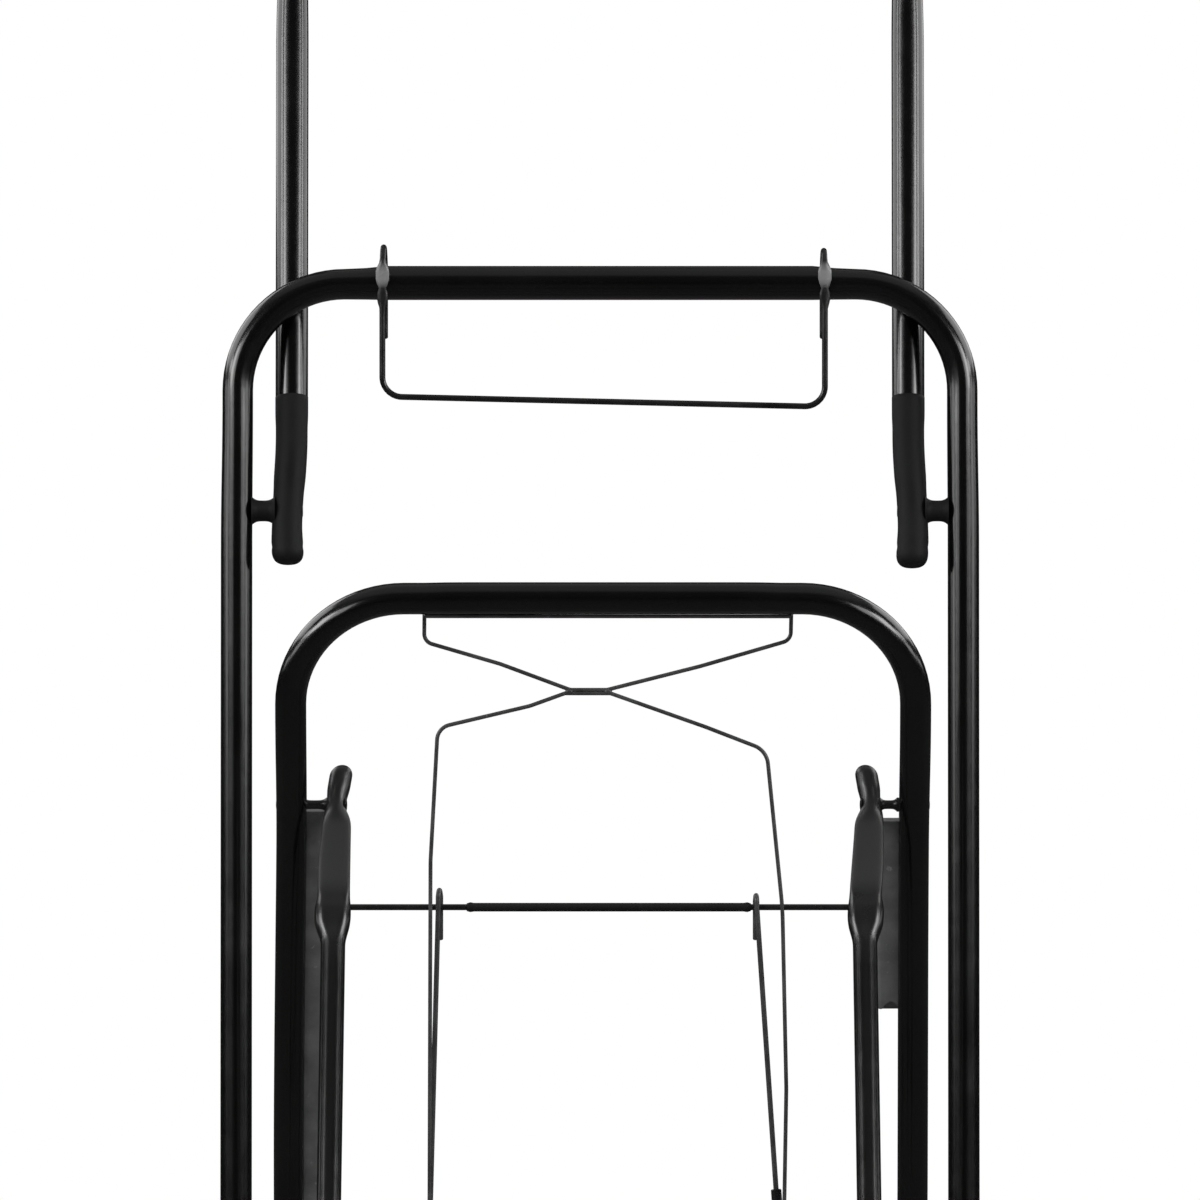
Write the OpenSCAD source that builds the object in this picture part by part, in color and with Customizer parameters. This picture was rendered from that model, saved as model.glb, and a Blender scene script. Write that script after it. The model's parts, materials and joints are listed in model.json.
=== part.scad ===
// Folding shopping trolley chassis: two bent tube frames on a rear axle,
// front legs riveted to the inner frame, a folding handle and three wires.
// Millimetres, +Z up, +Y towards the person pushing, origin on the ground.

/* [Frame tubes] */
// Outside diameter of the frame and handle tubes
tube_d = 19; // [18:0.5:20]
// Wall of the frame and handle tubes
tube_wall = 1.5; // [1.2:0.1:2]

/* [Main frame] */
// Half the distance between the main legs' centres
main_half = 208.9; // [207:0.1:209]
// Height of the main top bar's centre above the ground
main_bar_z = 761; // [755:1:770]
// Backward lean of the main frame from vertical
main_lean = 6; // [5:0.5:7]
// Centreline radius of the main frame's bends
main_bend_r = 62; // [55:1:70]

/* [Inner frame] */
// Half the distance between the inner legs' centres
inner_half = 177.5; // [177:0.5:178]
// Height of the inner top bar's centre
inner_bar_z = 579; // [570:1:585]
// Forward lean of the inner frame from vertical
inner_lean = 22; // [20:0.5:23]
// Centreline radius of the inner frame's bends
inner_bend_r = 64; // [56:1:68]

/* [Handle] */
// Half the distance between the handle legs' centres
handle_half = 177.3; // [176.3:0.1:178.3]
// Height of the handle's pivots
handle_pivot_z = 630; // [625:1:635]
// Backward lean of the handle beyond the main frame's lean
handle_extra_lean = 9.5; // [9.3:0.1:11]
// Length from the pivots to the handle bar's centre
handle_reach = 380; // [340:5:420]
// Centreline radius of the handle's bends
handle_bend_r = 62; // [50:1:66]
// Length of the grip on the handle bar
grip_len = 200; // [160:5:220]
// Diameter of the grip
grip_d = 28; // [25:1:32]

/* [Front legs] */
// Outside diameter of the front leg tubes
leg_d = 14; // [13:0.5:15]
// Half the distance between the front leg rivets' tips
leg_half = 150; // [149.5:0.1:150.5]
// Outward splay of each front leg
leg_splay = 0.7; // [0.5:0.1:0.9]
// Height of the rivets that join the front legs to the inner frame
rivet_z = 462; // [458:1:466]
// Distance below the rivet, along the leg, of the cross rod
rod_drop = 64.8; // [62:0.2:66]

/* [Wheels] */
// Distance of the rear axle behind the origin
rear_axle_y = 116; // [110:1:120]
// Distance of the front axle in front of the origin
front_axle_y = 228.5; // [225:0.5:235]
// Diameter of the rear wheels
rear_wheel_d = 180; // [160:5:190]
// Diameter of the front wheels
front_wheel_d = 120; // [110:5:125]
// Distance of the rear wheels' middle from the centre
rear_wheel_x = 239.5; // [239.5:0.5:242]
// Distance of the front wheels' middle from the centre
front_wheel_x = 131; // [129:1:132]

/* [Wires] */
// Wire diameter of the top bail
top_bail_d = 3.5; // [3:0.1:4]
// Wire diameter of the lower bail
lower_bail_d = 3; // [2.6:0.1:3.2]
// Wire diameter of the hourglass wire
hourglass_d = 2.4; // [2:0.1:2.6]
// Diameter of the cross rod
rod_d = 3.5; // [3:0.1:4]

/* [Hidden] */

$fn = 48;
LEFT = -1;
RIGHT = 1;
run_gap = 0.06;      // radial clearance of a turning fit
seat_gap = 0.02;     // radial clearance of a fixed fit
wire_gap = 0.35;     // clearance between a wire and the bar it hangs on
side_gap = 0.4;      // clearance beside a turning part
tube_r = tube_d / 2;
leg_r = leg_d / 2;
rod_r = rod_d / 2;

// Places of the axles, rivets, pivots and bars
rear_z = rear_wheel_d / 2;
front_z = front_wheel_d / 2;
rear_axle_r = 5;
front_axle_r = 4;
main_len = (main_bar_z - rear_z) / cos(main_lean);
inner_len = (inner_bar_z - rear_z) / cos(inner_lean);
main_bar_y = rear_axle_y + (main_bar_z - rear_z) * tan(main_lean);
inner_bar_y = rear_axle_y - (inner_bar_z - rear_z) * tan(inner_lean);
rivet_y = rear_axle_y - (rivet_z - rear_z) * tan(inner_lean);
handle_pivot_y = rear_axle_y + (handle_pivot_z - rear_z) * tan(main_lean);
handle_lean = main_lean + handle_extra_lean;
leg_lean = atan2(rivet_y + front_axle_y, rivet_z - front_z);
leg_len = (rivet_z - front_z) / cos(leg_lean);
rod_y = rivet_y - rod_drop * sin(leg_lean);
rod_z = rivet_z - rod_drop * cos(leg_lean);

// Sideways stack on the rear axle
main_inner_x = main_half - tube_r;
main_outer_x = main_half + tube_r;
rear_hub_half = 18;
rear_hub_in = rear_wheel_x - rear_hub_half;
rear_hub_out = rear_wheel_x + rear_hub_half;
axle_end_x = rear_hub_out + 5;
spacer_r = 7.5;
washer_r = 11;
rear_cap_r = 10;
rear_seat_r = rear_wheel_d / 2 - 16;

// Sideways stack on the front axle
front_end_x = leg_half + sin(leg_splay) * leg_len + leg_r + 5;
front_hub_half = 12.8;
front_sleeve_r = 6;
front_cap_r = 8;
front_seat_r = front_wheel_d / 2 - 12;

// Rivets, pivots and plugs
rivet_r = 2.5;
rivet_head_r = 4.5;
rivet_head_h = 1.6;
rivet_proud = 0.5;   // how far the heads stand out of the tubes
pivot_r = 3;
pivot_head_r = 5.5;
pivot_head_h = 2.5;
pivot_in_x = handle_half - 6.6; // inner end of the pivots' heads
pivot_spacer_r = 6;
pivot_flare_r = 8.5;
pivot_flare_h = 4;
plug_depth = 6;
plug_flange = 3;
main_foot = 16;      // how far the main legs reach below the axle
inner_foot = 14;     // how far the inner legs reach below the axle
boot_top = 66.4;     // boot's shoulder above the pivot
boot_bottom = 33;    // boot's rounded end below the pivot
boot_corner = 3.8;

// Flattened part of each front leg, measured along the leg from its rivet
flat_top = 14;
flat_bottom = 66;
flat_w = 18.4;
flat_t = 7;
tip_r = 6.5;
tip_top = 24.5;
tip_lean = 8;
crimp_len = 24;
rivet_in_x = leg_half - tip_r - rivet_proud;       // inner end of the rivets' heads
rivet_out_x = inner_half + tube_r + rivet_proud;   // outer end of the rivets' heads

// Stop strips beside the inner legs
stop_w = 15.3;
stop_t = 9;
stop_back = 7;       // how far the strip's middle lies behind the leg's centre
stop_gap = 13;       // distance of the strip's upper end below the rivet
stop_in_x = inner_half - 20.5;

// Wheels' rims and tyres
rim_band_t = 6;
tyre_round_r = 6;

// Sleeve over the cross rod's middle
rod_sleeve_r = 2.5;
rod_sleeve_x = [-76, 86];

function unit(v) = v / norm(v);

// Points of an arc of radius r that rounds the corner at b
function corner(a, b, c, r, n) =
    let (u = unit(a - b), w = unit(c - b), half = acos(u * w) / 2,
         reach = r / tan(half), centre = b + unit(u + w) * r / sin(half))
    [for (k = [0:n]) let (p = b + (u * (n - k) + w * k) * reach / n)
        centre + unit(p - centre) * r];

// A wire's route: its points, with every inner point rounded by its radius
function route(pts, radii, n = 4) =
    [pts[0],
     for (i = [1:len(pts) - 2]) each corner(pts[i - 1], pts[i], pts[i + 1], radii[i - 1], n),
     pts[len(pts) - 1]];

function tangent(p, i) =
    unit((i < len(p) - 1 ? unit(p[i + 1] - p[i]) : [0, 0, 0])
        + (i > 0 ? unit(p[i] - p[i - 1]) : [0, 0, 0]));

// Side directions carried along the route without twist
function sides(p, first) =
    [for (i = 0, s = first; i < len(p);
          i = i + 1, s = i < len(p) ? unit(s - (s * tangent(p, i)) * tangent(p, i)) : s) s];

// Round wire swept along a route
module wire(p, d, first, ring = 10) {
    s = sides(p, first);
    last = (len(p) - 1) * ring;
    pts = [for (i = [0:len(p) - 1]) let (a = s[i], b = cross(tangent(p, i), a))
        for (k = [0:ring - 1]) p[i] + d / 2 * (a * cos(360 * k / ring) + b * sin(360 * k / ring))];
    quads = [for (i = [0:len(p) - 2]) for (k = [0:ring - 1])
        [i * ring + k, (i + 1) * ring + k,
         (i + 1) * ring + (k + 1) % ring, i * ring + (k + 1) % ring]];
    polyhedron(pts, concat([[for (k = [0:ring - 1]) k]], quads,
        [[for (k = [ring - 1:-1:0]) last + k]]), convexity = 6);
}

// Cylinder along X from x0 to x1 at (y, z)
module bar_x(x0, x1, r, y = 0, z = 0) {
    translate([x0, y, z]) rotate([0, 90, 0]) cylinder(h = x1 - x0, r = r);
}

// The same cylinder on the left or right side, from the smaller to the larger distance
module side_bar(side, x0, x1, r, y = 0, z = 0) {
    bar_x(side > 0 ? x0 : -x1, side > 0 ? x1 : -x0, r, y, z);
}

// Solid inverted U with its bar's centre at height h and its legs down to foot
module u_shape(half, h, bend_r, r, foot) {
    bar_x(bend_r - half, half - bend_r, r, 0, h);
    for (side = [LEFT, RIGHT]) {
        translate([side * half, 0, foot]) cylinder(h = h - bend_r - foot, r = r);
        translate([side * (half - bend_r), 0, h - bend_r]) rotate([90, 0, 0])
            rotate([0, 0, side > 0 ? 0 : 90]) rotate_extrude(angle = 90)
            translate([bend_r, 0]) circle(r);
    }
}

module u_tube(half, h, bend_r, foot) {
    difference() {
        u_shape(half, h, bend_r, tube_r, foot);
        u_shape(half, h, bend_r, tube_r - tube_wall, foot - 1);
    }
}

// Frames of reference: along the main frame, the inner frame, the handle and a front leg
module on_main() { translate([0, rear_axle_y, rear_z]) rotate([-main_lean, 0, 0]) children(); }
module on_inner() { translate([0, rear_axle_y, rear_z]) rotate([inner_lean, 0, 0]) children(); }
module on_handle() {
    translate([0, handle_pivot_y, handle_pivot_z]) rotate([-handle_lean, 0, 0]) children();
}
module on_leg(side) {
    translate([side * leg_half, rivet_y, rivet_z]) rotate([-leg_lean, 0, 0])
        mirror([side > 0 ? 0 : 1, 0, 0]) rotate([0, -leg_splay, 0]) children();
}

module main_frame() {
    color("#141414") difference() {
        on_main() u_tube(main_half, main_len, main_bend_r, -main_foot);
        bar_x(-main_outer_x - 1, main_outer_x + 1, rear_axle_r + seat_gap, rear_axle_y, rear_z);
        for (side = [LEFT, RIGHT])
            side_bar(side, main_inner_x - 1, main_half, pivot_r + seat_gap,
                handle_pivot_y, handle_pivot_z);
    }
}

module rear_axle() {
    color("silver") bar_x(-axle_end_x, axle_end_x, rear_axle_r, rear_axle_y, rear_z);
}

// Plastic plug in a tube's lower end: a flange under it and a stem inside
module foot_plug() {
    translate([0, 0, -plug_flange]) cylinder(h = plug_flange, r = tube_r);
    cylinder(h = plug_depth, r = tube_r - tube_wall - seat_gap);
}
module main_plug(side) {
    color("#202020") on_main() translate([side * main_half, 0, -main_foot]) foot_plug();
}
module inner_plug(side) {
    color("#202020") on_inner() translate([side * inner_half, 0, -inner_foot]) foot_plug();
}

module axle_ring(side, x0, x1, r) {
    difference() {
        side_bar(side, x0, x1, r, rear_axle_y, rear_z);
        side_bar(side, x0 - 1, x1 + 1, rear_axle_r + seat_gap, rear_axle_y, rear_z);
    }
}
module axle_spacer(side) {
    color("#202020") axle_ring(side, inner_half + tube_r + side_gap, main_inner_x - side_gap, spacer_r);
}
module wheel_washer(side) {
    color("silver") axle_ring(side, main_outer_x + side_gap, rear_hub_in - side_gap, washer_r);
}

// Cup pushed over an axle's end
module end_cap(side, x0, axle_end, axle_r, cap_r, y, z) {
    difference() {
        union() {
            side_bar(side, x0, axle_end + 1, cap_r, y, z);
            translate([side * (axle_end + 1), y, z]) rotate([0, side * 90, 0])
                cylinder(h = 2, r1 = cap_r, r2 = cap_r - 3);
        }
        side_bar(side, x0 - 1, axle_end, axle_r + seat_gap, y, z);
    }
}
module axle_cap(side) {
    color("#202020")
        end_cap(side, rear_hub_out + 0.6, axle_end_x, rear_axle_r, rear_cap_r, rear_axle_y, rear_z);
}

// Pivot bolt: a countersunk head inside the boot, the shank through to the main leg
module handle_pivot(side) {
    color("#303030") translate([0, handle_pivot_y, handle_pivot_z]) {
        side_bar(side, pivot_in_x, main_half, pivot_r);
        translate([side * pivot_in_x, 0, 0]) rotate([0, side * 90, 0])
            cylinder(h = pivot_head_h, r1 = pivot_head_r, r2 = pivot_r);
    }
}
module pivot_spacer(side) {
    half_len = (main_inner_x - handle_half - tube_r) / 2 - 0.3;
    color("#202020")
        translate([side * (main_inner_x + handle_half + tube_r) / 2, handle_pivot_y, handle_pivot_z])
        rotate([0, 90, 0]) difference() {
            union() for (m = [0, 1]) mirror([0, 0, m]) {
                cylinder(h = half_len - pivot_flare_h, r = pivot_spacer_r);
                translate([0, 0, half_len - pivot_flare_h])
                    cylinder(h = pivot_flare_h, r1 = pivot_spacer_r, r2 = pivot_flare_r);
            }
            cylinder(h = 40, r = pivot_r + seat_gap, center = true);
        }
}

module handle_tube() {
    color("#141414") on_handle() u_tube(handle_half, handle_reach, handle_bend_r, boot_top + 0.1);
}
module handle_grip() {
    end = 6;
    color("#1c1c1c") on_handle() translate([0, 0, handle_reach]) rotate([0, 90, 0]) difference() {
        union() {
            cylinder(h = grip_len - 2 * end, r = grip_d / 2, center = true);
            for (m = [0, 1]) mirror([0, 0, m]) translate([0, 0, grip_len / 2 - end])
                cylinder(h = end, r1 = grip_d / 2, r2 = grip_d / 2 - 2.5);
        }
        cylinder(h = grip_len + 2, r = tube_r + seat_gap, center = true);
    }
}
module handle_boot(side) {
    color("#262626") difference() {
        on_handle() translate([side * handle_half, 0, 0]) {
            translate([0, 0, boot_corner - boot_bottom])
                cylinder(h = boot_top + boot_bottom - boot_corner, r = tube_r);
            translate([0, 0, -boot_bottom]) cylinder(h = boot_corner + 1, r = tube_r - boot_corner);
            translate([0, 0, boot_corner - boot_bottom]) rotate_extrude()
                translate([tube_r - boot_corner, 0]) circle(boot_corner);
            cylinder(h = boot_top + 30, r = tube_r - tube_wall - seat_gap);
        }
        translate([0, handle_pivot_y, handle_pivot_z]) {
            side_bar(side, handle_half - 20, handle_half + 20, pivot_r + run_gap);
            side_bar(side, handle_half - 20, pivot_in_x, pivot_head_r + run_gap);
            translate([side * pivot_in_x, 0, 0]) rotate([0, side * 90, 0])
                cylinder(h = pivot_head_h, r1 = pivot_head_r + run_gap, r2 = pivot_r + run_gap);
        }
    }
}

module inner_frame() {
    color("#141414") difference() {
        on_inner() u_tube(inner_half, inner_len, inner_bend_r, -inner_foot);
        bar_x(-inner_half - 20, inner_half + 20, rear_axle_r + run_gap, rear_axle_y, rear_z);
        for (side = [LEFT, RIGHT])
            rivet_hole(side, seat_gap);
    }
}
// Hole for a rivet, with a seat for each of its heads
module rivet_hole(side, gap) {
    side_bar(side, leg_half - 20, inner_half + 20, rivet_r + gap, rivet_y, rivet_z);
    side_bar(side, leg_half - 20, rivet_in_x + rivet_head_h + gap, rivet_head_r + gap, rivet_y, rivet_z);
    side_bar(side, rivet_out_x - rivet_head_h, inner_half + 20, rivet_head_r + gap, rivet_y, rivet_z);
}
module leg_rivet(side) {
    color("#303030") {
        side_bar(side, rivet_in_x, rivet_out_x, rivet_r, rivet_y, rivet_z);
        side_bar(side, rivet_in_x, rivet_in_x + rivet_head_h, rivet_head_r, rivet_y, rivet_z);
        side_bar(side, rivet_out_x - rivet_head_h, rivet_out_x, rivet_head_r, rivet_y, rivet_z);
    }
}

// Strip along the inside of an inner leg, behind the front leg's path
module leg_stop(side, length) {
    foot_z = (rivet_z - rear_z) / cos(inner_lean) - stop_gap - length;
    color("#3a3a3a") on_inner() difference() {
        translate([side * (stop_in_x + stop_w / 2), stop_back, foot_z]) {
            translate([0, 0, length / 2]) cube([stop_w, stop_t, length], center = true);
            rotate([0, 90, 0]) cylinder(h = stop_w, r = stop_t / 2, center = true);
        }
        translate([side * inner_half, 0, 0]) cylinder(h = inner_len, r = tube_r + seat_gap);
    }
}

// Slices of a front leg: the round tube and the rounded flat
module round_slice(z, r = leg_r) { translate([0, 0, z]) cylinder(h = 0.5, r = r, $fn = 32); }
module flat_slice(z, h = 0.5) {
    translate([0, 0, z]) linear_extrude(h) {
        square([flat_w - flat_t, flat_t], center = true);
        for (s = [LEFT, RIGHT]) translate([s * (flat_w - flat_t) / 2, 0]) circle(flat_t / 2);
    }
}
module front_leg(side) {
    color("#141414") difference() {
        on_leg(side) {
            difference() {
                translate([0, 0, -leg_len - 12])
                    cylinder(h = leg_len + 12 - flat_bottom - crimp_len, r = leg_r);
                translate([0, 0, -leg_len - 13])
                    cylinder(h = leg_len + 5 - flat_bottom - crimp_len, r = leg_r - 1.2);
            }
            hull() {
                round_slice(-flat_bottom - crimp_len - 0.5);
                flat_slice(-flat_bottom - 0.5, $fn = 32);
            }
            flat_slice(-flat_bottom, flat_bottom - flat_top);
            hull() {
                flat_slice(-flat_top - 0.5, $fn = 32);
                round_slice(-3, tip_r);
            }
            rotate([0, -tip_lean, 0]) {
                translate([0, 0, -3]) cylinder(h = tip_top + 3 - tip_r, r = tip_r);
                translate([0, 0, tip_top - tip_r]) sphere(tip_r - 0.02);
            }
        }
        rivet_hole(side, run_gap);
        bar_x(-200, 200, front_axle_r + seat_gap, -front_axle_y, front_z);
        bar_x(-leg_half, leg_half, rod_r + seat_gap, rod_y, rod_z);
    }
}
module cross_rod() { color("#202020") bar_x(-leg_half, leg_half, rod_r, rod_y, rod_z); }
module rod_sleeve() {
    color("#202020") difference() {
        bar_x(rod_sleeve_x[0], rod_sleeve_x[1], rod_sleeve_r, rod_y, rod_z);
        bar_x(-leg_half, leg_half, rod_r + seat_gap, rod_y, rod_z);
    }
}

module front_axle() {
    color("silver") bar_x(-front_end_x, front_end_x, front_axle_r, -front_axle_y, front_z);
}
module front_axle_sleeve() {
    half = front_wheel_x - front_hub_half - 0.5;
    color("#202020") difference() {
        bar_x(-half, half, front_sleeve_r, -front_axle_y, front_z);
        bar_x(-half - 1, half + 1, front_axle_r + seat_gap, -front_axle_y, front_z);
    }
}
module front_cap(side) {
    color("#202020")
        end_cap(side, front_end_x - 4.2, front_end_x, front_axle_r, front_cap_r, -front_axle_y, front_z);
}

// Wheel rim: hub, spokes and band, turned about X
module rim(x, y, z, hub_half, hub_r, bore_r, band_r, band_t, band_half, spokes, spoke_t) {
    translate([x, y, z]) rotate([0, 90, 0]) difference() {
        union() {
            cylinder(h = 2 * hub_half, r = hub_r, center = true);
            rotate_extrude($fn = 96) translate([band_r - band_t, -band_half])
                square([band_t, 2 * band_half]);
            for (k = [0:spokes - 1]) rotate([0, 0, 360 * k / spokes])
                translate([hub_r - 1, -spoke_t / 2, -band_half + 2])
                cube([band_r - band_t - hub_r + 2, spoke_t, 2 * band_half - 4]);
        }
        cylinder(h = 2 * hub_half + 2, r = bore_r, center = true);
    }
}
module tyre(x, y, z, seat_r, outer_r, half) {
    depth = outer_r - seat_r - seat_gap;
    flat_half = half - tyre_round_r;
    color("#181818") translate([x, y, z]) rotate([0, 90, 0]) rotate_extrude($fn = 96)
        translate([seat_r + seat_gap, 0]) {
            translate([0, -half]) square([depth - tyre_round_r, 2 * half]);
            translate([0, -flat_half]) square([depth, 2 * flat_half]);
            for (s = [LEFT, RIGHT])
                translate([depth - tyre_round_r, s * flat_half]) circle(tyre_round_r);
        }
}
module rear_rim(side) {
    color("#4a4d50") rim(side * rear_wheel_x, rear_axle_y, rear_z, rear_hub_half, 16,
        rear_axle_r + run_gap, rear_seat_r, rim_band_t, 12, 6, 9);
}
module rear_tyre(side) {
    tyre(side * rear_wheel_x, rear_axle_y, rear_z, rear_seat_r, rear_wheel_d / 2, 14);
}
module front_rim(side) {
    color("#4a4d50") rim(side * front_wheel_x, -front_axle_y, front_z, front_hub_half, 12,
        front_axle_r + run_gap, front_seat_r, rim_band_t - 1, 10, 5, 8);
}
module front_tyre(side) {
    tyre(side * front_wheel_x, -front_axle_y, front_z, front_seat_r, front_wheel_d / 2, 11);
}

// Hook over a bar at (y, z): a point list from its free end behind the bar to its leg in front
function hook(x_free, x_leg, y, z, reach, rise, tail) = [
    [x_free, y + reach, z - tail], [x_free, y + reach, z],
    for (a = [0:30:180]) let (f = a / 180)
        [x_free + (x_leg - x_free) * f, y + reach * cos(a), z + rise + reach * sin(a)],
    [x_leg, y - reach, z]];
function reversed(list) = [for (i = [len(list) - 1:-1:0]) list[i]];

// Bail that hangs in front of its bar: two hooks, two legs and a bottom wire
function bail(free, top, low, y, z, reach, rise, tails, low_z, r) =
    let (yf = y - reach)
    concat(hook(free[0], top[0], y, z, reach, rise[0], tails[0]),
        corner([top[0], yf, z], [low[0], yf, low_z[0]], [low[1], yf, low_z[1]], r, 5),
        corner([low[0], yf, low_z[0]], [low[1], yf, low_z[1]], [top[1], yf, z], r, 5),
        reversed(hook(free[1], top[1], y, z, reach, rise[1], tails[1])));

module top_bail() {
    reach = tube_r + wire_gap + top_bail_d / 2;
    color("#202020") wire(bail([-123.7, 128.1], [-125.1, 129.3], [-125.1, 129.3],
        main_bar_y, main_bar_z, reach, [9, 7], [31, 31],
        [main_bar_z - 65.2, main_bar_z - 71.1], 11.4), top_bail_d, [1, 0, 0]);
}
module lower_bail() {
    reach = rod_r + wire_gap + lower_bail_d / 2;
    color("#202020") wire(bail([-90.9, 88.6], [-92.2, 89.4], [-97, 101.8],
        rod_y, rod_z, reach, [6, 3], [18, 18], [222, 222], 9), lower_bail_d, [1, 0, 0]);
}
module bail_ferrule() {
    y = rod_y - rod_r - wire_gap - lower_bail_d / 2;
    color("#101010") translate([101.2, y, 231]) rotate([0, -3.9, 0]) difference() {
        cylinder(h = 12, r = 3);
        translate([0, 0, -1]) cylinder(h = 14, r = lower_bail_d / 2 + 0.2);
    }
}

// Hourglass wire: hangs behind the inner bar, pinched in the middle, closed at the bottom
module hourglass_wire() {
    reach = tube_r + wire_gap + hourglass_d / 2;
    y = inner_bar_y + reach;
    z = inner_bar_z;
    around = function (x, from, to, step) [for (a = [from:step:to])
        [x, inner_bar_y + reach * cos(a), z + reach * sin(a)]];
    upper = concat(around(-100, 45, 15, -15), [[-100, y, z]], route([[-100, y, z - 4],
        [-100.2, y, z - 24], [-57, y, 542.4], [-17, y, 527.6], [4, y, 527.6], [57, y, 541],
        [108.7, y, z - 23], [109.2, y, z - 4]], [6, 30, 6, 6, 30, 6]), [[109.2, y, z]],
        around(109.2, 15, 45, 15));
    lower = route([[-20, y, 525.6], [-40, y, 518.4], [-92.5, y, 506], [-96.6, y, 430], [-97.2, y, 231],
        [105, y, 231], [106.2, y, 300], [104, y, 403], [95, y, 493], [60, y, 506.5],
        [6, y, 525.6], [-20, y, 525.6]], [20, 9, 60, 6, 6, 120, 200, 12, 30, 4]);
    under = concat(around(-99.5, -10, -90, -16), around(108.7, -90, -10, 16));
    color("#2c2c2c") {
        wire(upper, hourglass_d, [1, 0, 0]);
        wire(lower, hourglass_d, [0, 1, 0]);
        wire(under, hourglass_d, [0, 1, 0]);
    }
}

main_frame();
rear_axle();
main_plug(LEFT);  // main_plug_left
main_plug(RIGHT);  // main_plug_right
axle_spacer(LEFT);  // axle_spacer_left
axle_spacer(RIGHT);  // axle_spacer_right
wheel_washer(LEFT);  // wheel_washer_left
wheel_washer(RIGHT);  // wheel_washer_right
axle_cap(LEFT);  // axle_cap_left
axle_cap(RIGHT);  // axle_cap_right
handle_pivot(LEFT);  // handle_pivot_left
handle_pivot(RIGHT);  // handle_pivot_right
pivot_spacer(LEFT);  // pivot_spacer_left
pivot_spacer(RIGHT);  // pivot_spacer_right
handle_tube();
handle_grip();
handle_boot(LEFT);  // handle_boot_left
handle_boot(RIGHT);  // handle_boot_right
inner_frame();
inner_plug(LEFT);  // inner_plug_left
inner_plug(RIGHT);  // inner_plug_right
leg_rivet(LEFT);  // leg_rivet_left
leg_rivet(RIGHT);  // leg_rivet_right
leg_stop(LEFT, 330);  // leg_stop_left
leg_stop(RIGHT, 112);  // leg_stop_right
front_leg(LEFT);  // front_leg_left
front_leg(RIGHT);  // front_leg_right
cross_rod();
rod_sleeve();
front_axle();
front_axle_sleeve();
front_cap(LEFT);  // front_cap_left
front_cap(RIGHT);  // front_cap_right
top_bail();
hourglass_wire();
lower_bail();
bail_ferrule();
rear_rim(LEFT);  // rear_rim_left
rear_rim(RIGHT);  // rear_rim_right
rear_tyre(LEFT);  // rear_tyre_left
rear_tyre(RIGHT);  // rear_tyre_right
front_rim(LEFT);  // front_rim_left
front_rim(RIGHT);  // front_rim_right
front_tyre(LEFT);  // front_tyre_left
front_tyre(RIGHT);  // front_tyre_right
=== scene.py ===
# Looks of a folding shopping trolley chassis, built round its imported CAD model.
# Metres, +Z up, -Y is the front, +X the right side as seen from the front.
import json
import math

import bmesh
import bpy
from mathutils import Matrix, Vector

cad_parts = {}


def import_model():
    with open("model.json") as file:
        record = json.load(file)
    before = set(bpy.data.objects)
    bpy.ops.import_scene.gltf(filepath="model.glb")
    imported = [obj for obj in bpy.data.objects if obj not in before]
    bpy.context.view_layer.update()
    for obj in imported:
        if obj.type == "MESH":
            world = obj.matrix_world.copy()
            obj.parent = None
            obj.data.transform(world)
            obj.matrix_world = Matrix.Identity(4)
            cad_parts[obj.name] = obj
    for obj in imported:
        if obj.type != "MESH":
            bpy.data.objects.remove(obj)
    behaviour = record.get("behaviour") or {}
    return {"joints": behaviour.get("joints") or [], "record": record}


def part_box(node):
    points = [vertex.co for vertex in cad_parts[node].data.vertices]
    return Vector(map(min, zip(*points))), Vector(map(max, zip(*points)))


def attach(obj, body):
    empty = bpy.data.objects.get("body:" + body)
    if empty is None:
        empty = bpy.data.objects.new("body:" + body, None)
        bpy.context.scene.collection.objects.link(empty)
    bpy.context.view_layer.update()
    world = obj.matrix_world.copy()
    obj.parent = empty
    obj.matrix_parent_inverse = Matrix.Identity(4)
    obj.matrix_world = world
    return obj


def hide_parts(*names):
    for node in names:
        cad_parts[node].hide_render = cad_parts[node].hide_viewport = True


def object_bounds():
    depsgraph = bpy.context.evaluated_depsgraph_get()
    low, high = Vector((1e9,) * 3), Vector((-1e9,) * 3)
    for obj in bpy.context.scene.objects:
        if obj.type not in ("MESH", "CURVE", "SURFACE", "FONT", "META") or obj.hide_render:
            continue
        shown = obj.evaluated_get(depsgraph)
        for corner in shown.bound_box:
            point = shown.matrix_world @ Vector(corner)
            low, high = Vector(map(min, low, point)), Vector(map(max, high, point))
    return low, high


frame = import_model()
cad_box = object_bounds()

MM = 0.001
LEFT, RIGHT = -1, 1
SIDES = (("left", LEFT), ("right", RIGHT))
X, Y = Vector((1, 0, 0)), Vector((0, 1, 0))
POLE = 0.02 * MM       # radius at which a turned profile closes on its axis
PLAY = 0.02 * MM       # gap between a bar and a ring that sits on it

# ---------------------------------------------------------------- places, read from the frame
ANCHOR = {j["name"]: Vector(j["pos_m"]) for j in frame["joints"]}
BODY = {n: b for b, nodes in frame["record"]["behaviour"]["bodies"].items() for n in nodes}


def centre(node):
    low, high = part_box(node)
    return (low + high) / 2


def size(node):
    low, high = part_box(node)
    return high - low


REAR = ANCHOR["frame_fold"]
PIVOT = ANCHOR["handle_fold"]
RIVET = ANCHOR["leg_fold"]
MAIN_BAR = ANCHOR["top_bail_swing"]
INNER_BAR = ANCHOR["hourglass_swing"]
ROD = ANCHOR["lower_bail_swing"]
FRONT = ANCHOR["front_wheel_left_spin"]
HANDLE_BAR = centre("handle_grip")

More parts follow.
